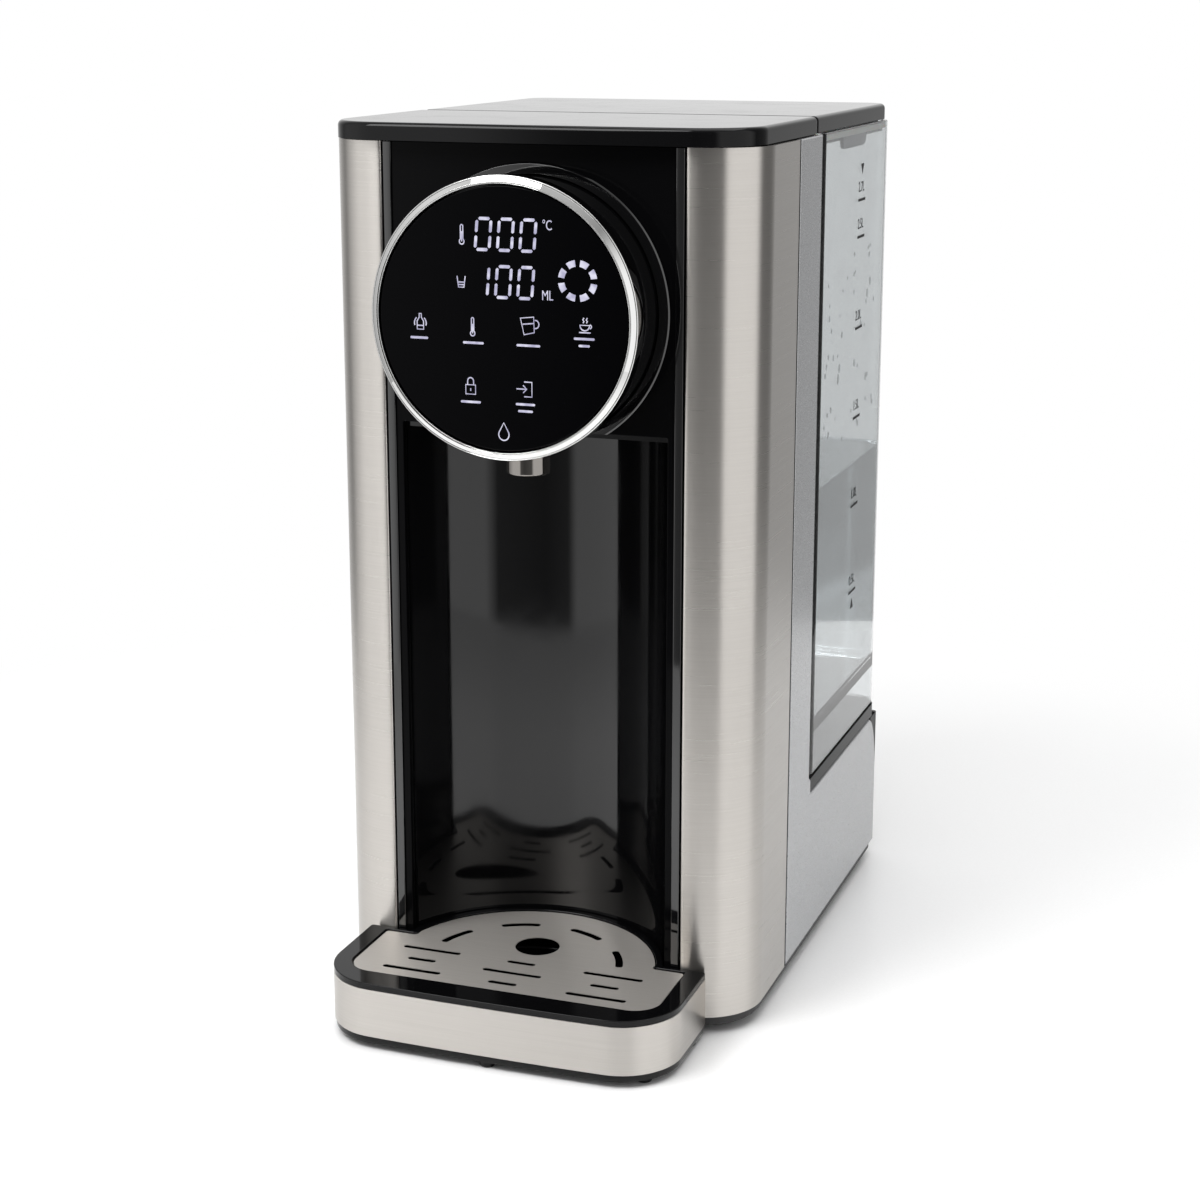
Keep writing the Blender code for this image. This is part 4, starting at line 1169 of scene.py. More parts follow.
# ---------------------------------------------------------------- head and display
@dataclass
class Head:
    """The round head with its polished ring, black face and nozzle."""

    shop: Workshop
    wall: float = 2.2 * MM
    gap: float = 0.3 * MM
    hose_hole: float = 9 * MM
    spout_hole: float = 7.6 * MM
    spout: float = 7.3 * MM
    spout_bore: float = 4.6 * MM
    flange_radius: float = 9.4 * MM
    flange: float = 206 * MM
    flange_sheet: float = 1.2 * MM
    barb: float = 3.4 * MM
    barb_bore: float = 2.0 * MM
    collar_gap: float = 0.5 * MM
    collar_notch: float = 35 * MM

    def __post_init__(self) -> None:
        """Reads the head's axis and faces from the frame."""
        low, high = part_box("display_glass")
        self.centre = Vector((0, 0, (low.z + high.z) / 2))
        self.glass_radius = (high.x - low.x) / 2
        self.glass_front = low.y

    def round(self, name: str, points: Sequence[tuple[float, float]], radii: Any, finish: Finish,
              node: str, steps: int = 160) -> None:
        """One turned piece on the head's axis, its heights measured forwards."""
        solid = moved(turn_profile(points, radii, steps), self.centre, FACING_FRONT)
        self.shop.place(name, solid, finish, Body.HOUSING, node)

    def build(self) -> None:
        """Makes the head's pieces."""
        self.housing()
        self.trim()
        self.nozzle()
        self.shop.refine("display_board", BOARD)

    def housing(self) -> None:
        """A gloss black drum, open towards the display."""
        low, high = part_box("head_housing")
        nozzle_low, nozzle_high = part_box("nozzle")
        radius, front, rear = (high.x - low.x) / 2, -low.y, -high.y
        inner = radius - self.wall
        drum = turn_profile([(0, rear), (radius, rear), (radius, front), (inner, front),
                             (inner, rear + self.wall), (0, rear + self.wall)],
                            [0, 1 * MM, 0.2 * MM, 0.2 * MM, 1 * MM, 0], 192)
        drum = moved(drum, self.centre, FACING_FRONT)
        drum = combine(drum, moved(rod(self.hose_hole, rear - 5 * MM, rear + 6 * MM), self.centre,
                                   FACING_FRONT))
        spout_y = (nozzle_low.y + nozzle_high.y) / 2
        drum = combine(drum, moved(rod(self.spout_hole, 0.19, 0.21), (0, spout_y, 0)))
        self.shop.place("head_drum", drum, DRUM_BLACK, Body.HOUSING, "head_housing")

    def trim(self) -> None:
        """The polished ring with its groove, the black face and the collar at the panel."""
        low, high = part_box("bezel_ring")
        radius, front, rear = (high.x - low.x) / 2, -low.y, -high.y
        house_low, house_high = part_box("head_housing")
        rim, bore = (house_high.x - house_low.x) / 2 + self.gap, self.glass_radius + self.gap
        seat = -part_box("display_glass")[1].y - self.gap
        # inward and backward steps across the ring's face, and each corner's fillet, in millimetres
        face = [(0.0, 1.25, 0.15), (0.25, 1.05, 0.1), (0.45, 1.25, 0.0), (0.6, 1.05, 0.08),
                (1.95, 0.1, 0.1),
                (2.1, 0.1, 0.05), (2.2, 0.6, 0.0), (2.4, 0.6, 0.0), (2.5, 0.2, 0.08)]
        ring = [(rim, rear), (radius, rear), *((radius - x * MM, front - y * MM) for x, y, _ in face),
                (bore, front - 0.9 * MM), (bore, seat), (rim, seat)]
        radii = [0.0, 0.3 * MM, *(fillet * MM for _, _, fillet in face), 0.0, 0.0, 0.0]
        self.round("bezel", ring, radii, CHROME, "bezel_ring", 192)
        back, face = seat + self.gap, -self.glass_front
        self.round("display_face", [(0, back), (self.glass_radius, back), (self.glass_radius, face),
                                    (0, face)],
                   [0.0, 0.1 * MM, 0.5 * MM, 0.0], SMOKED_FACE, "display_glass", 192)
        low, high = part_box("head_collar")
        outer, back, face = (high.x - low.x) / 2, -high.y, -low.y
        inner = (house_high.x - house_low.x) / 2 + self.collar_gap
        collar = turn_profile([(inner, back), (outer, back), (outer, face - 0.4 * MM),
                               (outer - 0.5 * MM, face),
                               (inner, face)], [0.0, 0.0, 0.15 * MM, 0.2 * MM, 0.1 * MM], 160)
        collar = moved(collar, self.centre, FACING_FRONT)
        niche_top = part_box("niche_shell")[1].z + 0.2 * MM
        collar = combine(collar, block((-self.collar_notch, -1, 0), (self.collar_notch, 1, niche_top)))
        self.shop.place("head_seat_ring", collar, RAIL_BLACK, Body.HOUSING, "head_collar")

    def nozzle(self) -> None:
        """A polished spout with a stepped bore."""
        low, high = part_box("nozzle")
        bottom, place = low.z, (0, (low.y + high.y) / 2, 0)
        flange, top = self.flange, self.flange + self.flange_sheet
        profile = [(self.spout_bore, bottom), (self.spout, bottom), (self.spout, flange),
                   (self.flange_radius, flange), (self.flange_radius, top), (self.barb, top),
                   (self.barb, high.z), (self.barb_bore, high.z), (self.barb_bore, 0.2000),
                   (self.spout_bore, 0.1990)]
        radii = [0.3 * MM, 0.8 * MM, 0.0, 0.3 * MM, 0.3 * MM, 0.0, 0.3 * MM, 0.2 * MM, 0.0, 0.0]
        self.shop.place("spout", moved(turn_profile(profile, radii, 96), place), NOZZLE_STEEL, Body.HOUSING,
                        "nozzle")


@dataclass
class Display:
    """Lit digits and signs on the head's face, in millimetres from its centre."""

    shop: Workshop
    head: Head
    digit_width: float = 6.1
    digit_height: float = 10.7
    digit_pitch: float = 8.1
    bar: float = 1.0
    slant: float = 0.09
    relief: float = 0.06
    pen: float = 0.4
    squeeze: float = 0.93
    shift: float = 0.4

    # which bars are lit: top, upper right, lower right, bottom, lower left, upper left, middle
    SEGMENTS = {"0": "tabcde", "1": "ab"}

    def build(self) -> None:
        """Makes the digits, the rings and the signs."""
        upper, lower = self.number("000", (-10.4, 21.4)), self.number("100", (-11.3, 6.6))
        self.stick("display_digits", gather(upper + lower))
        self.stick("display_ring", gather(self.timer()))
        self.stick("display_signs", strokes(self.signs(), self.pen, self.relief))
        units = [lettering("°C", 4.4, (16.2, 30.0), self.relief, 0.75),
                 lettering("ML", 4.4, (16.2, 8.2), self.relief, 0.75)]
        self.stick("display_units", gather(units))
        self.stick("display_captions", gather(self.captions()))

    def stick(self, name: str, mesh: BMesh) -> None:
        """Scales a drawing from millimetres and lays it on the face.

        Args:
            name: The piece's name.
            mesh: The drawing, in millimetres.
        """
        bmesh.ops.scale(mesh, vec=(MM * self.squeeze, MM, MM), verts=mesh.verts)
        place = (self.shift * MM, self.head.glass_front - self.relief * MM, self.head.centre.z)
        self.shop.place(name, moved(mesh, place, FACING_FRONT), LAMP, Body.HOUSING)

    def number(self, digits: str, corner: tuple[float, float]) -> list[BMesh]:
        """The bars of a row of slanted seven-bar digits.

        Args:
            digits: The digits.
            corner: The lower left corner of the first one.

        Returns:
            One mesh for each lit bar.
        """
        half = (self.digit_height - self.bar) / 2
        across = self.digit_width - self.bar
        spots = {"t": (0.5, 2, True), "a": (1, 1.5, False), "b": (1, 0.5, False), "c": (0.5, 0, True),
                 "d": (0, 0.5, False), "e": (0, 1.5, False)}
        bars = []
        for place, digit in enumerate(digits):
            for key in self.SEGMENTS[digit]:
                x, y, flat = spots[key]
                length = (across if flat else half) - self.bar * 0.9
                bar = self.lozenge(length, flat)
                middle = (self.bar / 2 + x * across + place * self.digit_pitch, self.bar / 2 + y * half, 0)
                bars.append(moved(bar, middle))
        for bar in bars:
            lean = Matrix(((1, self.slant, 0, 0), (0, 1, 0, 0), (0, 0, 1, 0), (0, 0, 0, 1)))
            bmesh.ops.transform(bar, matrix=lean, verts=bar.verts)
            moved(bar, (*corner, 0))
        return bars

    def lozenge(self, length: float, flat: bool) -> BMesh:
        """One bar with pointed, slightly rounded ends.

        Args:
            length: The bar's length.
            flat: Whether it lies level.

        Returns:
            A closed bar.
        """
        reach, half = length / 2, self.bar / 2
        points = [(-reach, 0), (-reach + half * 0.8, -half), (reach - half * 0.8, -half), (reach, 0),
                  (reach - half * 0.8, half), (-reach + half * 0.8, half)]
        bar = raise_up(plan(points, 0.12, 2), -self.relief, self.relief)
        turn = Matrix.Identity(4) if flat else Matrix.Rotation(math.radians(90), 4, "Z")
        return moved(bar, turn=turn)

    def timer(self) -> list[BMesh]:
        """The ring of eight bars that counts the pour.

        Returns:
            One mesh for each bar.
        """
        pieces = []
        for number in range(8):
            wedge = bmesh.new()
            start = wedge.verts.new((4.45, 0, 0))
            line_to(wedge, start, 6.5, 0)
            bmesh.ops.spin(wedge, geom=wedge.verts[:] + wedge.edges[:], cent=(0, 0, 0), axis=(0, 0, 1),
                           dvec=(0, 0, 0), angle=math.radians(28), steps=6, use_merge=False,
                           use_duplicate=False)
            turn = Matrix.Rotation(math.radians(45 * number + 8.5), 4, "Z")
            wedge = moved(raise_up(wedge, -self.relief, self.relief), turn=turn)
            bmesh.ops.scale(wedge, vec=(1 / self.squeeze, 1.0, 1.0), verts=wedge.verts)
            pieces.append(moved(wedge, (27.0, 13.3, 0)))
        return pieces

    def signs(self) -> list[list[tuple[float, float]]]:
        """Line drawings: thermometers, glass, bottle, jug, cup, lock, arrow and a drop.

        Returns:
            Each line's points, in millimetres.
        """
        lines = []
        for x, y, size in ((-14.7, 26.4, 1.0), (-11.1, -2.6, 0.95)):
            lines.append(ring_points((x, y - 2.2 * size), 0.85 * size, 120, 420))
            lines.append([(x - 0.45 * size, y - 1.4 * size),
                          *ring_points((x, y + 2.6 * size), 0.45 * size, 180, 0, 6),
                          (x + 0.45 * size, y - 1.4 * size)])
            lines.append([(x, y - 2.2 * size), (x, y + 1.0 * size)])
        lines.append([(-16.6, 13.3), (-16.1, 9.8), (-14.1, 9.8), (-13.6, 13.3)])
        lines.append([(-16.0, 10.6), (-14.2, 10.6)])
        lines.append([(-16.1, 11.4), (-14.1, 11.4)])
        lines.append([(-31.7, -4.2), (-31.7, -1.6), (-30.9, -0.4), (-30.9, 0.8), (-30.1, 0.8),
                      (-30.1, -0.4),
                      (-29.3, -1.6), (-29.3, -4.2), (-31.7, -4.2)])
        lines.append([(-31.6, -3.0), (-29.4, -3.0)])
        lines.append(ring_points((-30.5, -2.2), 2.2, 200, 130, 5))
        lines.append(ring_points((-30.5, -2.2), 2.2, -20, 50, 5))
        lines.append([(6.4, 0.9), (7.7, -4.3), (11.4, -3.5), (11.2, 1.4), (6.4, 0.9)])
        lines.append([(7.2, -1.0), (11.3, -0.6)])
        lines.append(ring_points((11.8, -0.9), 1.3, -100, 100, 8))
        lines.append(ring_points((29.5, -0.4), 1.7, 180, 360, 12) + [(27.8, -0.4)])
        lines.append(ring_points((31.3, -0.8), 0.6, -90, 90, 6))
        lines.append([(27.5, -2.7), (31.6, -2.7)])
        for x in (28.9, 30.1):
            lines.append([(x, 0.3), (x + 0.35, 0.8), (x - 0.1, 1.3), (x + 0.35, 1.9)])
        lines.append([(-13.9, -24.2), (-13.9, -21.2), (-10.3, -21.2), (-10.3, -24.2), (-13.9, -24.2)])
        lines.append([(-13.2, -21.2), *ring_points((-12.1, -20.0), 1.1, 180, 0, 10), (-11.0, -21.2)])
        lines.append([(-12.1, -22.3), (-12.1, -23.2)])
        lines.append([(7.6, -19.3), (10.4, -19.3), (10.4, -24.0), (7.6, -24.0)])
        lines.append([(4.8, -21.6), (8.4, -21.6)])
        lines.append([(7.2, -20.4), (8.5, -21.6), (7.2, -22.8)])
        drop = ring_points((0, -36.6), 1.9, -200, 20, 14)
        lines.append([(0, -32.8), *drop, (0, -32.8)])
        return lines

    def captions(self) -> list[BMesh]:
        """Plain short dashes under the signs.

        Returns:
            One mesh for each dash.
        """
        dashes = [(-31.0, -6.9, 6.6), (-10.9, -7.7, 7.6), (9.2, -7.7, 8.6), (29.3, -4.7, 7.4),
                  (29.3, -6.9, 4.0),
                  (-12.1, -26.7, 7.4), (8.0, -26.5, 7.0), (8.0, -28.7, 5.4)]
        return [raise_up(oval((x, y), length, 0.75, 4), -self.relief, self.relief)
                for x, y, length in dashes]


# ---------------------------------------------------------------- covers and tank
@dataclass
class Covers:
    """The fixed top cover and the tank's lid with its rim, tabs and seal."""

    shop: Workshop
    front_radius: float = 20 * MM
    split_radius: float = 2.4 * MM
    rear_radius: float = 8.5 * MM
    bow: float = 3.0 * MM
    edge: float = 1.8 * MM
    spans: int = 24

    def build(self) -> None:
        """Makes both covers."""
        self.top_cover()
        self.lid()
        self.shop.refine("lid_gasket", SILICONE)

    def cap(self, outline: BMesh, bottom: float, top: float, split: float) -> BMesh:
        """A thin slab, well rounded along its upper edge but crisp where the covers meet.

        Args:
            outline: The slab's plan.
            bottom: Its lower height.
            top: Its upper height.
            split: Where along Y the covers meet.

        Returns:
            The slab.
        """
        slab = raise_up(outline, bottom, top)

        def outer(edge: BMEdge) -> bool:
            """Whether the edge lies round the top, away from the split."""
            middle = (edge.verts[0].co + edge.verts[1].co) / 2
            return level(top)(edge) and abs(middle.y - split) > TINY

        soften(slab, self.edge, 5, 35, outer)
        return soften(slab, 0.3 * MM, 2, 35, lambda edge: not outer(edge))

    def top_cover(self) -> None:
        """The front cover, whose front edge bows forwards a little."""
        low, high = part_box("top_cover")
        half, front = high.x, low.y + self.bow
        face = plan([(-half, front), (half, front), (half, high.y), (-half, high.y)],
                    [self.front_radius, self.front_radius, self.split_radius, self.split_radius], 24)
        long_edge = [edge for edge in face.edges if all(abs(vert.co.y - front) < TINY for vert in edge.verts)]
        bmesh.ops.subdivide_edges(face, edges=long_edge, cuts=self.spans)
        for vert in face.verts:
            if vert.co.y < front + self.front_radius:
                vert.co.y -= self.bow * (1 - (vert.co.x / half) ** 2)
        self.shop.place("cover_front", self.cap(face, low.z, high.z, high.y), COVER_BLACK, Body.HOUSING,
                        "top_cover")

    def lid(self) -> None:
        """The tank's lid, with the rim that drops into the tank and a tab on each side."""
        low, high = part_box("tank_lid")
        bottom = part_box("top_cover")[0].z
        tank_low, tank_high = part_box("water_tank")
        face = plan([(-high.x, low.y), (high.x, low.y), (high.x, high.y), (-high.x, high.y)],
                    [self.split_radius, self.split_radius, self.rear_radius, self.rear_radius], 16)
        lid = self.cap(face, bottom, high.z, low.y)
        inset, wall = 3.6 * MM, 1.8 * MM
        rims = []
        for gap in (inset, inset + wall):
            rims.append(plan([(-tank_high.x + gap, tank_low.y + gap), (tank_high.x - gap, tank_low.y + gap),
                              (tank_high.x - gap, tank_high.y - gap),
                              (-tank_high.x + gap, tank_high.y - gap)],
                             [3 * MM, 3 * MM, 6.4 * MM, 6.4 * MM]))
        rim = combine(raise_up(rims[0], bottom - 4.2 * MM, bottom + 0.4 * MM),
                      raise_up(rims[1], bottom - 9 * MM, bottom + 0.2 * MM))
        lid = combine(lid, rim, Cut.ADD)
        self.shop.place("cover_rear", lid, COVER_BLACK, Body.LID, "tank_lid")
        for side, name in ((1, "lid_tab_right"), (-1, "lid_tab_left")):
            tab = plan([(45 * MM, bottom), (85 * MM, bottom), (81 * MM, low.z), (49 * MM, low.z)][::-1],
                       [3 * MM, 5 * MM, 0.0, 0.0], 6)
            start = tank_high.x - 3.55 * MM
            tab = moved(raise_up(tab, start - 1.4 * MM, start), turn=ON_THE_SIDE)
            tab = tab if side > 0 else mirrored(tab)
            self.shop.place(name, tab, LID_GREY, Body.LID)


@dataclass
class Tank:
    """The clear tank with its water, litre marks and valve."""

    shop: Workshop
    wall: float = 2.2 * MM
    front_radius: float = 6 * MM
    rear_radius: float = 10 * MM
    floor_under: float = 83 * MM
    floor_top: float = 86 * MM
    hole: float = 9 * MM
    valve_travel: float = 3 * MM
    water_line: float = 174 * MM
    film: float = 0.15 * MM
    litre_zero: float = 89.9 * MM
    litre_rise: float = 67.5 * MM
    volumes: tuple[float, ...] = (0.5, 1.0, 1.5, 2.0, 2.5, 2.7)
    mark_y: float = 70 * MM

    def __post_init__(self) -> None:
        """Reads the tank's box and the valve's axis from the frame."""
        self.low, self.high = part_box("water_tank")
        low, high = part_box("valve_body")
        self.axis = Vector((0, (low.y + high.y) / 2, 0))

    def outline(self, inset: float, grow: float = 0.0) -> BMesh:
        """The tank's plan, inset all round.

        Args:
            inset: How far inside the outer wall.
            grow: What is added to the corner radii.

        Returns:
            A mesh with one face.
        """
        low, high = self.low, self.high
        points = [(low.x + inset, low.y + inset), (high.x - inset, low.y + inset),
                  (high.x - inset, high.y - inset), (low.x + inset, high.y - inset)]
        front, rear = self.front_radius - inset + grow, self.rear_radius - inset + grow
        return plan(points, [front, front, rear, rear], 16)

    def build(self) -> None:
        """Makes the tank and what is in it."""
        self.vessel()
        self.water()
        self.droplets()
        self.marks()
        for node in ("valve_body", "valve_nut", "strainer", "valve_plunger"):
            self.shop.refine(node, NYLON)
        self.shop.refine("valve_seal", SILICONE)
        self.spring()

    def spring(self) -> None:
        """The valve's spring, as a finished copy with a mesh of its own."""
        spring = self.shop.refine("valve_spring", ZINC)
        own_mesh(spring)

    def vessel(self) -> None:
        """Walls, a floor set high inside them and a hole for the valve."""
        body = raise_up(self.outline(0.0), self.low.z, self.high.z)
        cavity = raise_up(self.outline(self.wall), self.floor_top, self.high.z + 10 * MM)
        soften(cavity, 3 * MM, 6, 35, level(self.floor_top))
        body = combine(body, cavity)
        under = raise_up(self.outline(self.wall), self.low.z - 10 * MM, self.floor_under)
        body = combine(body, under)
        body = combine(body, moved(rod(self.hole, 0.08, 0.09), self.axis))
        soften(body, 0.5 * MM, 3, 60, level(self.high.z))
        soften(body, 0.4 * MM, 2, 60, level(self.low.z))
        self.shop.place("tank_vessel", body, CLEAR, Body.TANK, "water_tank")

    def water(self) -> None:
        """Still water with a low meniscus, hollowed round the strainer."""
        inset = self.wall + self.film
        body = raise_up(self.outline(inset), self.floor_top + self.film, self.water_line)
        soften(body, 3 * MM, 6, 35, level(self.floor_top + self.film))
        top = [face for face in body.faces if face.normal.z > 0.99 and face.calc_center_median().z > 0.1]
        bmesh.ops.inset_region(body, faces=top, thickness=1.4 * MM, use_even_offset=True)
        for face in top:
            bmesh.ops.translate(body, vec=(0, 0, -0.7 * MM), verts=face.verts)
        strainer_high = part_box("strainer")[1]
        pocket = rod(13.4 * MM, 0.08, strainer_high.z + self.film * 2)
        body = combine(body, moved(pocket, self.axis))
        self.shop.place("tank_water", body, WATER, Body.TANK)

    def droplets(self) -> None:
        """Small drops left on the inner walls above the water."""
        chance = random.Random(7)
        drops = []
        for _ in range(46):
            radius = chance.uniform(0.5, 1.1) * MM
            drop = bmesh.new()
            bmesh.ops.create_icosphere(drop, subdivisions=2, radius=radius)
            bmesh.ops.scale(drop, vec=(0.35, 1.0, chance.uniform(1.0, 1.8)), verts=drop.verts)
            side = self.high.x - self.wall - 0.4 * radius
            y = chance.uniform(self.low.y + 14 * MM, self.high.y - 18 * MM)
            z = chance.uniform(self.water_line + 10 * MM, self.high.z - 45 * MM)
            drops.append(moved(drop, (side, y, z)))
        self.shop.place("wall_drops", gather(drops), WATER, Body.TANK)

    def marks(self) -> None:
        """Printed litre marks on the right wall, with triangles for the highest and lowest level."""
        thick = 0.03 * MM
        parts = []
        for volume in self.volumes:
            z = self.litre_zero + self.litre_rise * volume
            tick = plan([(-5.3 * MM, -0.5 * MM), (5.3 * MM, -0.5 * MM), (5.3 * MM, 0.5 * MM),
                         (-5.3 * MM, 0.5 * MM)])
            parts.append(moved(raise_up(tick, -thick, thick), (self.mark_y, z, 0)))
            parts.append(lettering(f"{volume:.1f}L", 5.2 * MM, (self.mark_y - 1 * MM, z + 4.6 * MM),
                                   2 * thick))
        for z, tip in ((self.litre_zero + self.litre_rise * 2.7 + 11.5 * MM, -1), (118.6 * MM, 1)):
            arrow = plan([(-2.2 * MM, -1.6 * MM * tip), (2.2 * MM, -1.6 * MM * tip),
                          (0, 2.2 * MM * tip)][::tip])
            parts.append(moved(raise_up(arrow, -thick, thick), (self.mark_y, z, 0)))
        print_plane = self.high.x + 2 * thick
        marks = moved(gather(parts), (print_plane, 0, 0), ON_THE_SIDE)
        self.shop.place("litre_marks", marks, INK, Body.TANK)


# ---------------------------------------------------------------- tray
@dataclass
class Tray:
    """The drip tray with its steel band and slotted grid."""

    shop: Workshop
    corner: float = 20 * MM
    bow: float = 1.5 * MM
    shoulder: float = -72.0 * MM
    tongue: float = 46.2 * MM
    tongue_radius: float = 48.2 * MM
    niche_y: float = -84.2 * MM
    grid_half: float = 55 * MM
    grid_front: float = -108.5 * MM
    grid_corner: float = 9 * MM
    grid_shoulder: float = -74.2 * MM
    grid_tongue: float = 43.5 * MM
    grid_radius: float = 45.5 * MM
    grid_sheet: float = 0.25 * MM
    grid_lip: float = 1.2 * MM
    basin_floor: float = 10 * MM
    band_sheet: float = 0.8 * MM

    def outline(self, half: float, front: float, shoulder: float, tongue: float, radius: float,
                corner: float,
                bow: float = 0.0) -> BMesh:
        """A rounded front box whose round tongue reaches into the niche, as one flat face.

        Args:
            half: Half the width of the front box.
            front: The front edge at the sides.
            shoulder: The rear edge of the front box.
            tongue: Half the width of the neck.
            radius: The tongue's radius.
            corner: The front corners' radius.
            bow: How far the front bulges.

        Returns:
            A mesh with one face.
        """
        mesh = bmesh.new()
        start = mesh.verts.new((0, front, 0))
        nose = line_to(mesh, start, half, front)
        back = line_to(mesh, nose, half, shoulder)
        neck = line_to(mesh, back, tongue, shoulder)
        rise = math.sqrt(radius ** 2 - tongue ** 2)
        foot = line_to(mesh, neck, tongue,
                       self.niche_y + rise) if self.niche_y + rise > shoulder + TINY else neck
        angle = 90 - math.degrees(math.atan2(foot.co.y - self.niche_y, foot.co.x))
        arc_to(mesh, foot, (0, self.niche_y), angle, 40)
        round_corners(mesh, [(nose, corner), (back, 1.2 * MM), (neck, 1.6 * MM)], 12)
        spans = [edge for edge in mesh.edges if all(abs(vert.co.y - front) < TINY for vert in edge.verts)]
        bmesh.ops.subdivide_edges(mesh, edges=spans, cuts=12)
        for vert in mesh.verts:
            if vert.co.y < front + corner:
                vert.co.y -= bow * (1 - (vert.co.x / half) ** 2)
        bmesh.ops.mirror(mesh, geom=mesh.verts[:] + mesh.edges[:], matrix=Matrix.Identity(4),
                         merge_dist=TINY * 10,
                         axis="X")
        bmesh.ops.remove_doubles(mesh, verts=mesh.verts, dist=TINY * 10)
        bmesh.ops.edgeloop_fill(mesh, edges=mesh.edges[:])
        return mesh

    def outer(self, inset: float) -> BMesh:
        """The tray's own plan.

        Args:
            inset: How far inside the rim.

        Returns:
            A mesh with one face.
        """
        low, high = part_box("drip_tray")
        return self.outline(high.x - inset, low.y + self.bow + inset, self.shoulder - inset * 0.2,
                            self.tongue - inset * 0.2, self.tongue_radius - inset * 0.2,
                            self.corner - inset, self.bow)

    def basin(self, inset: float) -> BMesh:
        """The grid's plan, inset all round."""
        return self.outline(self.grid_half - inset, self.grid_front + inset, self.grid_shoulder - inset,
                            self.grid_tongue - inset, self.grid_radius - inset, self.grid_corner - inset)

    def build(self) -> None:
        """Makes the tray, the band and the grid."""
        self.moulding()
        self.band()
        self.grid()

    def moulding(self) -> None:
        """The black tray: bottom strip, core behind the band, rolled rim, basin and five nubs."""
        low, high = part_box("drip_tray")
        band_low, band_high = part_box("tray_band")
        grid_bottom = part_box("drip_grid")[0].z
        strip = raise_up(self.outer(0.4 * MM), low.z + 2.3 * MM, band_low.z - 0.2 * MM)
        soften(strip, 0.6 * MM, 2, 35, level(low.z + 2.3 * MM))
        core = raise_up(self.outer(1.2 * MM), low.z + 3.2 * MM, high.z - 1 * MM)
        rim = raise_up(self.outer(0.0), band_high.z + 0.2 * MM, high.z)
        soften(rim, 0.9 * MM, 4, 35, level(high.z))
        tray = combine(combine(core, strip, Cut.ADD), rim, Cut.ADD)
        mouth = raise_up(self.basin(-0.4 * MM), grid_bottom - 0.3 * MM, high.z + 5 * MM)
        well = raise_up(self.basin(2.0 * MM), self.basin_floor, high.z + 5 * MM)
        soften(well, 2 * MM, 4, 35, level(self.basin_floor))
        tray = combine(combine(tray, mouth), well)
        soften(tray, 0.35 * MM, 3, 50, level(high.z))
        nubs = []
        for x, y in ((0, -115.5), (-52.5, -108.5), (52.5, -108.5), (-58, -78.5), (58, -78.5)):
            nub = turn_profile([(0, low.z), (2.6 * MM, low.z), (2.6 * MM, 3.4 * MM), (0, 3.4 * MM)],
                               [0.0, 0.6 * MM, 0.0, 0.0], 24)
            nubs.append(moved(nub, (x * MM, y * MM, 0)))
        tray = combine(tray, gather(nubs), Cut.ADD)
        self.shop.place("tray_moulding", tray, TRAY_BLACK, Body.TRAY, "drip_tray")

    def band(self) -> None:
        """A steel strip wrapped round the tray's front and sides."""
        low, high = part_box("tray_band")
        line = bmesh.new()
        front, half = low.y + self.bow, high.x
        start = line.verts.new((0, front, low.z))
        nose = line_to(line, start, half, front)
        line_to(line, nose, half, high.y)
        round_corners(line, [(nose, self.corner)], 20)
        spans = [edge for edge in line.edges if all(abs(vert.co.y - front) < TINY for vert in edge.verts)]
        bmesh.ops.subdivide_edges(line, edges=spans, cuts=16)
        for vert in line.verts:
            if vert.co.y < front + self.corner:
                vert.co.y -= self.bow * (1 - (vert.co.x / half) ** 2)
        bmesh.ops.mirror(line, geom=line.verts[:] + line.edges[:], matrix=Matrix.Identity(4),
                         merge_dist=TINY * 10,
                         axis="X")
        bmesh.ops.remove_doubles(line, verts=line.verts, dist=TINY * 10)
        sheet = thicken(sweep_up(line, high.z - low.z), self.band_sheet, Vector((0, high.y, low.z)))
        soften(sheet, 0.2 * MM, 2, 60)
        self.shop.place("tray_steel_band", sheet, BAND_STEEL, Body.TRAY, "tray_band")

    def grid(self) -> None:
        """A brushed plate with a drain hole, four curved slots and nine straight ones."""
        low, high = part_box("drip_grid")
        plate = raise_up(self.basin(0.0), low.z, high.z)
        plate = combine(plate, raise_up(self.basin(self.grid_lip), low.z - 1 * MM,
                                        high.z - self.grid_sheet))
        cutters = [raise_up(oval((0, -69.3 * MM), 15.4 * MM, 15.4 * MM, 16), 0.015, 0.03)]
        for middle in (25, 68, 112, 155):
            cutters.append(self.curved_slot(middle, 24, 33.3 * MM, 2.6 * MM))
        rows = (-84.5 * MM, -93.2 * MM, -101.9 * MM)
        for column in (-1, 0, 1):
            for number, y in enumerate(rows):
                is_long = (number % 2 == 0) if column else (number == 1)
                length = 21.2 * MM if is_long else 10.2 * MM
                cutters.append(raise_up(oval((33.2 * MM * column, y), length, 2.2 * MM), 0.015, 0.03))
        plate = combine(plate, gather(cutters))
        soften(plate, 0.22 * MM, 2, 50, level(high.z))
        self.shop.place("grid_plate", plate, GRID_STEEL, Body.GRID, "drip_grid")

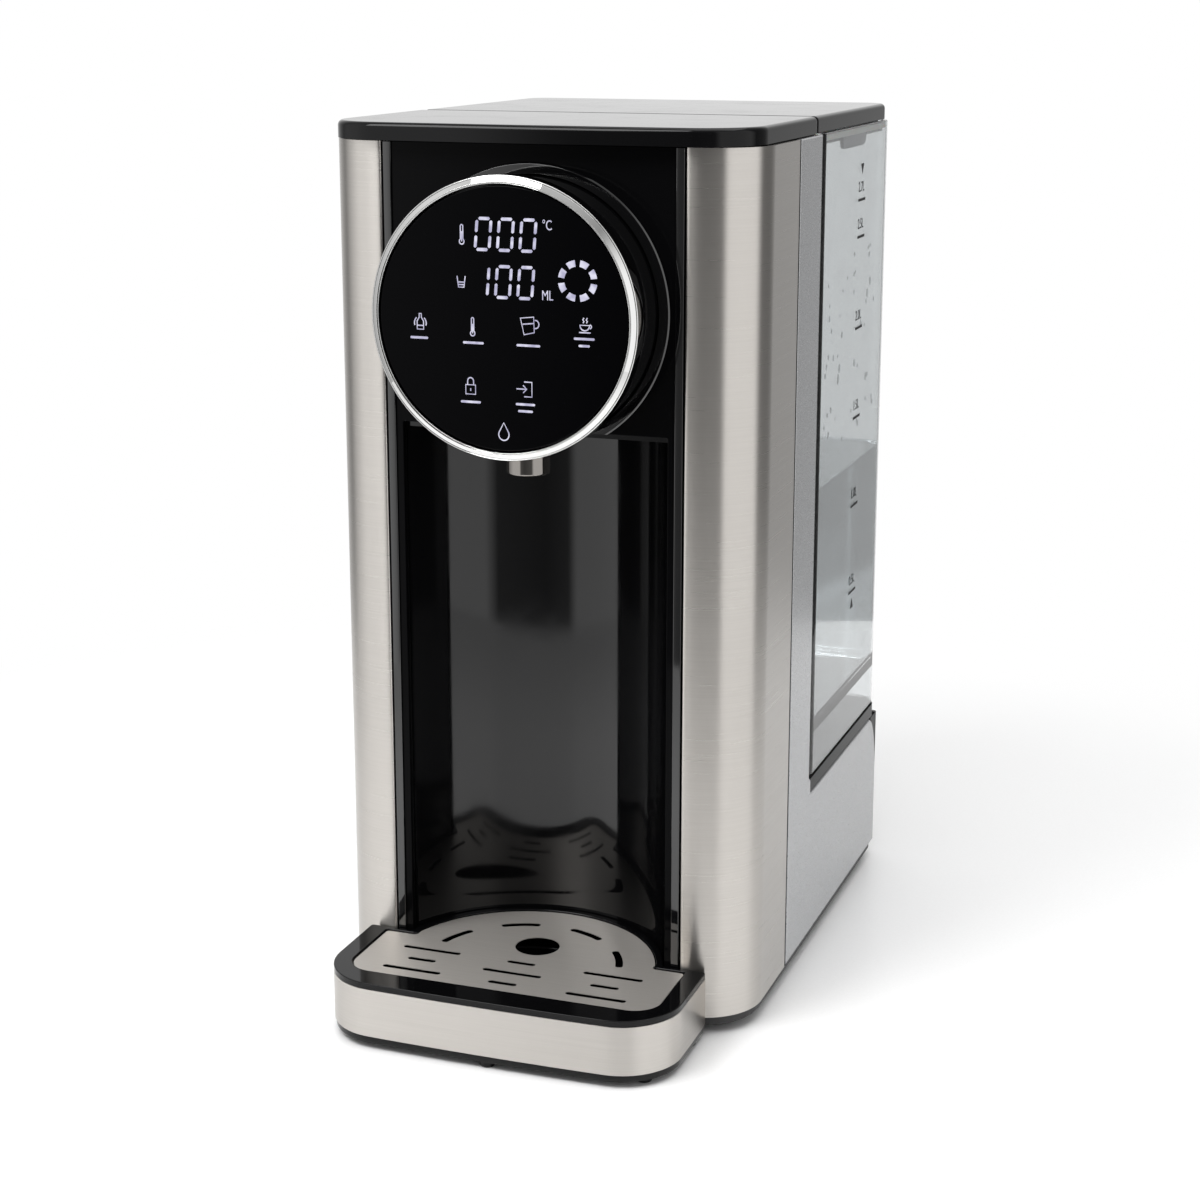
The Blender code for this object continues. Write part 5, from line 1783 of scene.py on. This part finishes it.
    def curved_slot(self, middle: float, span: float, radius: float, width: float) -> BMesh:
        """A solid that cuts one slot along an arc about the niche's axis.

        Args:
            middle: The direction of its middle, in degrees.
            span: How far it reaches round, in degrees.
            radius: The arc's radius.
            width: The slot's width.

        Returns:
            The solid.
        """
        slot = bmesh.new()
        start = slot.verts.new((radius - width / 2, 0, 0))
        line_to(slot, start, radius + width / 2, 0)
        bmesh.ops.spin(slot, geom=slot.verts[:] + slot.edges[:], cent=(0, 0, 0), axis=(0, 0, 1),
                       dvec=(0, 0, 0),
                       angle=math.radians(span), steps=12, use_merge=False, use_duplicate=False)
        bmesh.ops.dissolve_faces(slot, faces=slot.faces[:])
        ends = [vert for vert in slot.verts if math.degrees(math.atan2(vert.co.y, vert.co.x)) % span < 0.01
                or math.degrees(math.atan2(vert.co.y, vert.co.x)) > span - 0.01]
        round_corners(slot, [(vert, width * 0.45) for vert in ends], 6)
        turn = Matrix.Rotation(math.radians(middle - span / 2), 4, "Z")
        return moved(raise_up(slot, 0.015, 0.03), (0, self.niche_y, 0), turn)


# ---------------------------------------------------------------- base and works
@dataclass
class Base:
    """The pan, the feet and the screws."""

    shop: Workshop

    def build(self) -> None:
        """Dresses the pieces under the casing."""
        self.shop.refine("base_pan", SATIN_BLACK)
        for corner in ("front_left", "front_right", "rear_left", "rear_right"):
            self.shop.refine(f"foot_{corner}", RUBBER)
        for number in range(1, 5):
            self.shop.refine(f"base_screw_{number}", ZINC)
        self.shop.refine("cord_gland", RUBBER)
        self.shop.refine("tank_deck", PANEL_BLACK)
        self.shop.refine("tank_socket", NYLON)
        self.shop.refine("socket_seal", SILICONE)


@dataclass
class Works:
    """Pump, heater, hoses and board, which the casing hides."""

    shop: Workshop
    parts: dict[str, Finish] = field(default_factory=lambda: {
        "pump_body": NYLON, "pump_motor": ZINC, "pump_impeller": NYLON, "pump_cradle": SATIN_BLACK,
        "heater_tube": HEATER, "heater_clamp_lower": ZINC, "heater_clamp_upper": ZINC,
        "thermostat": SATIN_BLACK, "temperature_sensor": ZINC, "control_board": BOARD,
        "intake_hose": SILICONE, "pressure_hose": SILICONE, "outlet_hose": SILICONE})

    def build(self) -> None:
        """Dresses every inner piece."""
        for node, finish in self.parts.items():
            self.shop.refine(node, finish)


# ---------------------------------------------------------------- studio
@dataclass
class Softbox:
    """A square lamp on a sphere round the object, aimed at its middle."""

    name: str
    azimuth: float
    elevation: float
    distance: float
    side: float
    power: float
    mirrored: bool = True

    def build(self, aim: Vector) -> None:
        """Adds the lamp; azimuth 0 is in front of the object and 90 at its right.

        Args:
            aim: The point that the lamp faces.
        """
        turn, rise = math.radians(self.azimuth), math.radians(self.elevation)
        way = Vector((math.sin(turn) * math.cos(rise), -math.cos(turn) * math.cos(rise), math.sin(rise)))
        data = bpy.data.lights.new(self.name, "AREA")
        data.shape, data.size, data.energy = "SQUARE", self.side, self.power
        lamp = bpy.data.objects.new(self.name, data)
        lamp.location = aim + way * self.distance
        lamp.rotation_euler = way.to_track_quat("Z", "Y").to_euler()
        lamp.visible_camera = False
        lamp.visible_glossy = self.mirrored
        bpy.context.scene.collection.objects.link(lamp)


@dataclass
class Studio:
    """Floor, light and camera."""

    shop: Workshop
    camera_place: tuple[float, float, float] = (0.2729, -0.7648, 0.3443)
    camera_yaw: float = 19.76
    camera_pitch: float = 13.25
    camera_lens: float = 69.1
    camera_shift: float = -0.05
    table: float = 0.5
    ceiling: float = 0.6
    boxes: tuple[Softbox, ...] = (Softbox("overhead_box", 120, 80, 1.2, 1.0, 6.5),
                                  Softbox("key_box", -32, 50, 1.0, 0.5, 6.0),
                                  Softbox("fill_box", 12, 52, 1.0, 0.4, 2.5, False))
    # brightness of the room round the object: degrees from the front towards the right, and light
    room: tuple[tuple[float, float], ...] = (
        (-180, 0.95), (-150, 0.88), (-130, 0.6), (-105, 0.3), (-90, 0.7), (-65, 1.2), (-26, 1.2),
        (-19, 0.2),
        (0, 0.12), (38, 0.2), (48, 1.2), (105, 1.2), (118, 0.2), (145, 0.2), (162, 0.38), (170, 0.5),
        (180, 0.95))

    def build(self) -> None:
        """Makes the studio round the object."""
        self.floor()
        self.sky()
        for box in self.boxes:
            box.build(Vector((0, 0, 0.15)))
        self.camera()

    def floor(self) -> None:
        """A round pale table top, whose edge is as white as the room behind it."""
        mesh = bmesh.new()
        bmesh.ops.create_circle(mesh, cap_ends=True, segments=128, radius=self.table)
        data = bpy.data.meshes.new("floor")
        mesh.to_mesh(data)
        mesh.free()
        data.materials.append(self.shop.material(FLOOR))
        sweep = bpy.data.objects.new("floor", data)
        bpy.context.scene.collection.objects.link(sweep)

    def sky(self) -> None:
        """White behind the object; a room that is bright behind and dim in front for its gloss."""
        world = bpy.data.worlds.new("studio")
        bpy.context.scene.world = world
        world.use_nodes = True
        tree = world.node_tree
        tree.nodes.clear()
        way = add(tree, "ShaderNodeSeparateXYZ", {0: add(tree, "ShaderNodeTexCoord").outputs["Generated"]})
        back = add(tree, "ShaderNodeMath", {0: way.outputs["Y"], 1: -1.0}, operation="MULTIPLY")
        turn = add(tree, "ShaderNodeMath", {0: way.outputs["X"], 1: back.outputs[0]}, operation="ARCTAN2")
        spot = add(tree, "ShaderNodeMapRange", {"Value": turn.outputs[0], "From Min": -math.pi,
                                                "From Max": math.pi})
        walls = add(tree, "ShaderNodeValToRGB", {0: spot.outputs[0]})
        stops = walls.color_ramp.elements
        for azimuth, _ in self.room[1:-1]:
            stops.new(azimuth / 360 + 0.5)
        for stop, (azimuth, light) in zip(stops, self.room):
            stop.color = (light, light, light, 1.0)
        high = add(tree, "ShaderNodeMapRange",
                   {"Value": way.outputs["Z"], "From Min": 0.5, "From Max": 0.85})
        colour = add(tree, "ShaderNodeMix", {"Factor": high.outputs[0], 6: walls.outputs[0],
                                             7: (self.ceiling, self.ceiling, self.ceiling, 1.0)},
                     data_type="RGBA")
        room = add(tree, "ShaderNodeBackground", {"Color": colour.outputs[2], "Strength": 1.0})
        plain = add(tree, "ShaderNodeBackground", {"Color": linear("#FFFFFF"), "Strength": 1.0})
        seen = add(tree, "ShaderNodeLightPath").outputs["Is Camera Ray"]
        both = add(tree, "ShaderNodeMixShader", {0: seen, 1: room.outputs[0], 2: plain.outputs[0]})
        add(tree, "ShaderNodeOutputWorld", {"Surface": both.outputs[0]})
        bpy.context.scene.view_settings.view_transform = "Standard"

    def camera(self) -> None:
        """A long lens from the front right, looking a little down."""
        data = bpy.data.cameras.new("camera")
        data.lens, data.sensor_width, data.shift_y = self.camera_lens, 36.0, self.camera_shift
        data.clip_start = 0.05
        camera = bpy.data.objects.new("camera", data)
        camera.location = self.camera_place
        camera.rotation_euler = (math.radians(90 - self.camera_pitch), 0.0, math.radians(self.camera_yaw))
        bpy.context.scene.collection.objects.link(camera)
        bpy.context.scene.camera = camera


# ---------------------------------------------------------------- assembly
def corners(box: tuple[Vector, Vector]) -> list[list[float]]:
    """A box's corners as plain lists."""
    return [list(corner) for corner in box]


def main() -> None:
    """Builds the sub-assemblies in order."""
    logging.basicConfig(level=logging.INFO, format="%(message)s")
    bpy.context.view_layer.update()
    shop = Workshop()
    Casing(shop).build()
    head = Head(shop)
    head.build()
    Display(shop, head).build()
    Covers(shop).build()
    Tank(shop).build()
    Tray(shop).build()
    Base(shop).build()
    Works(shop).build()
    Studio(shop).build()
    LOG.info("%d pieces made", shop.count)


if __name__ == "__main__":
    main()
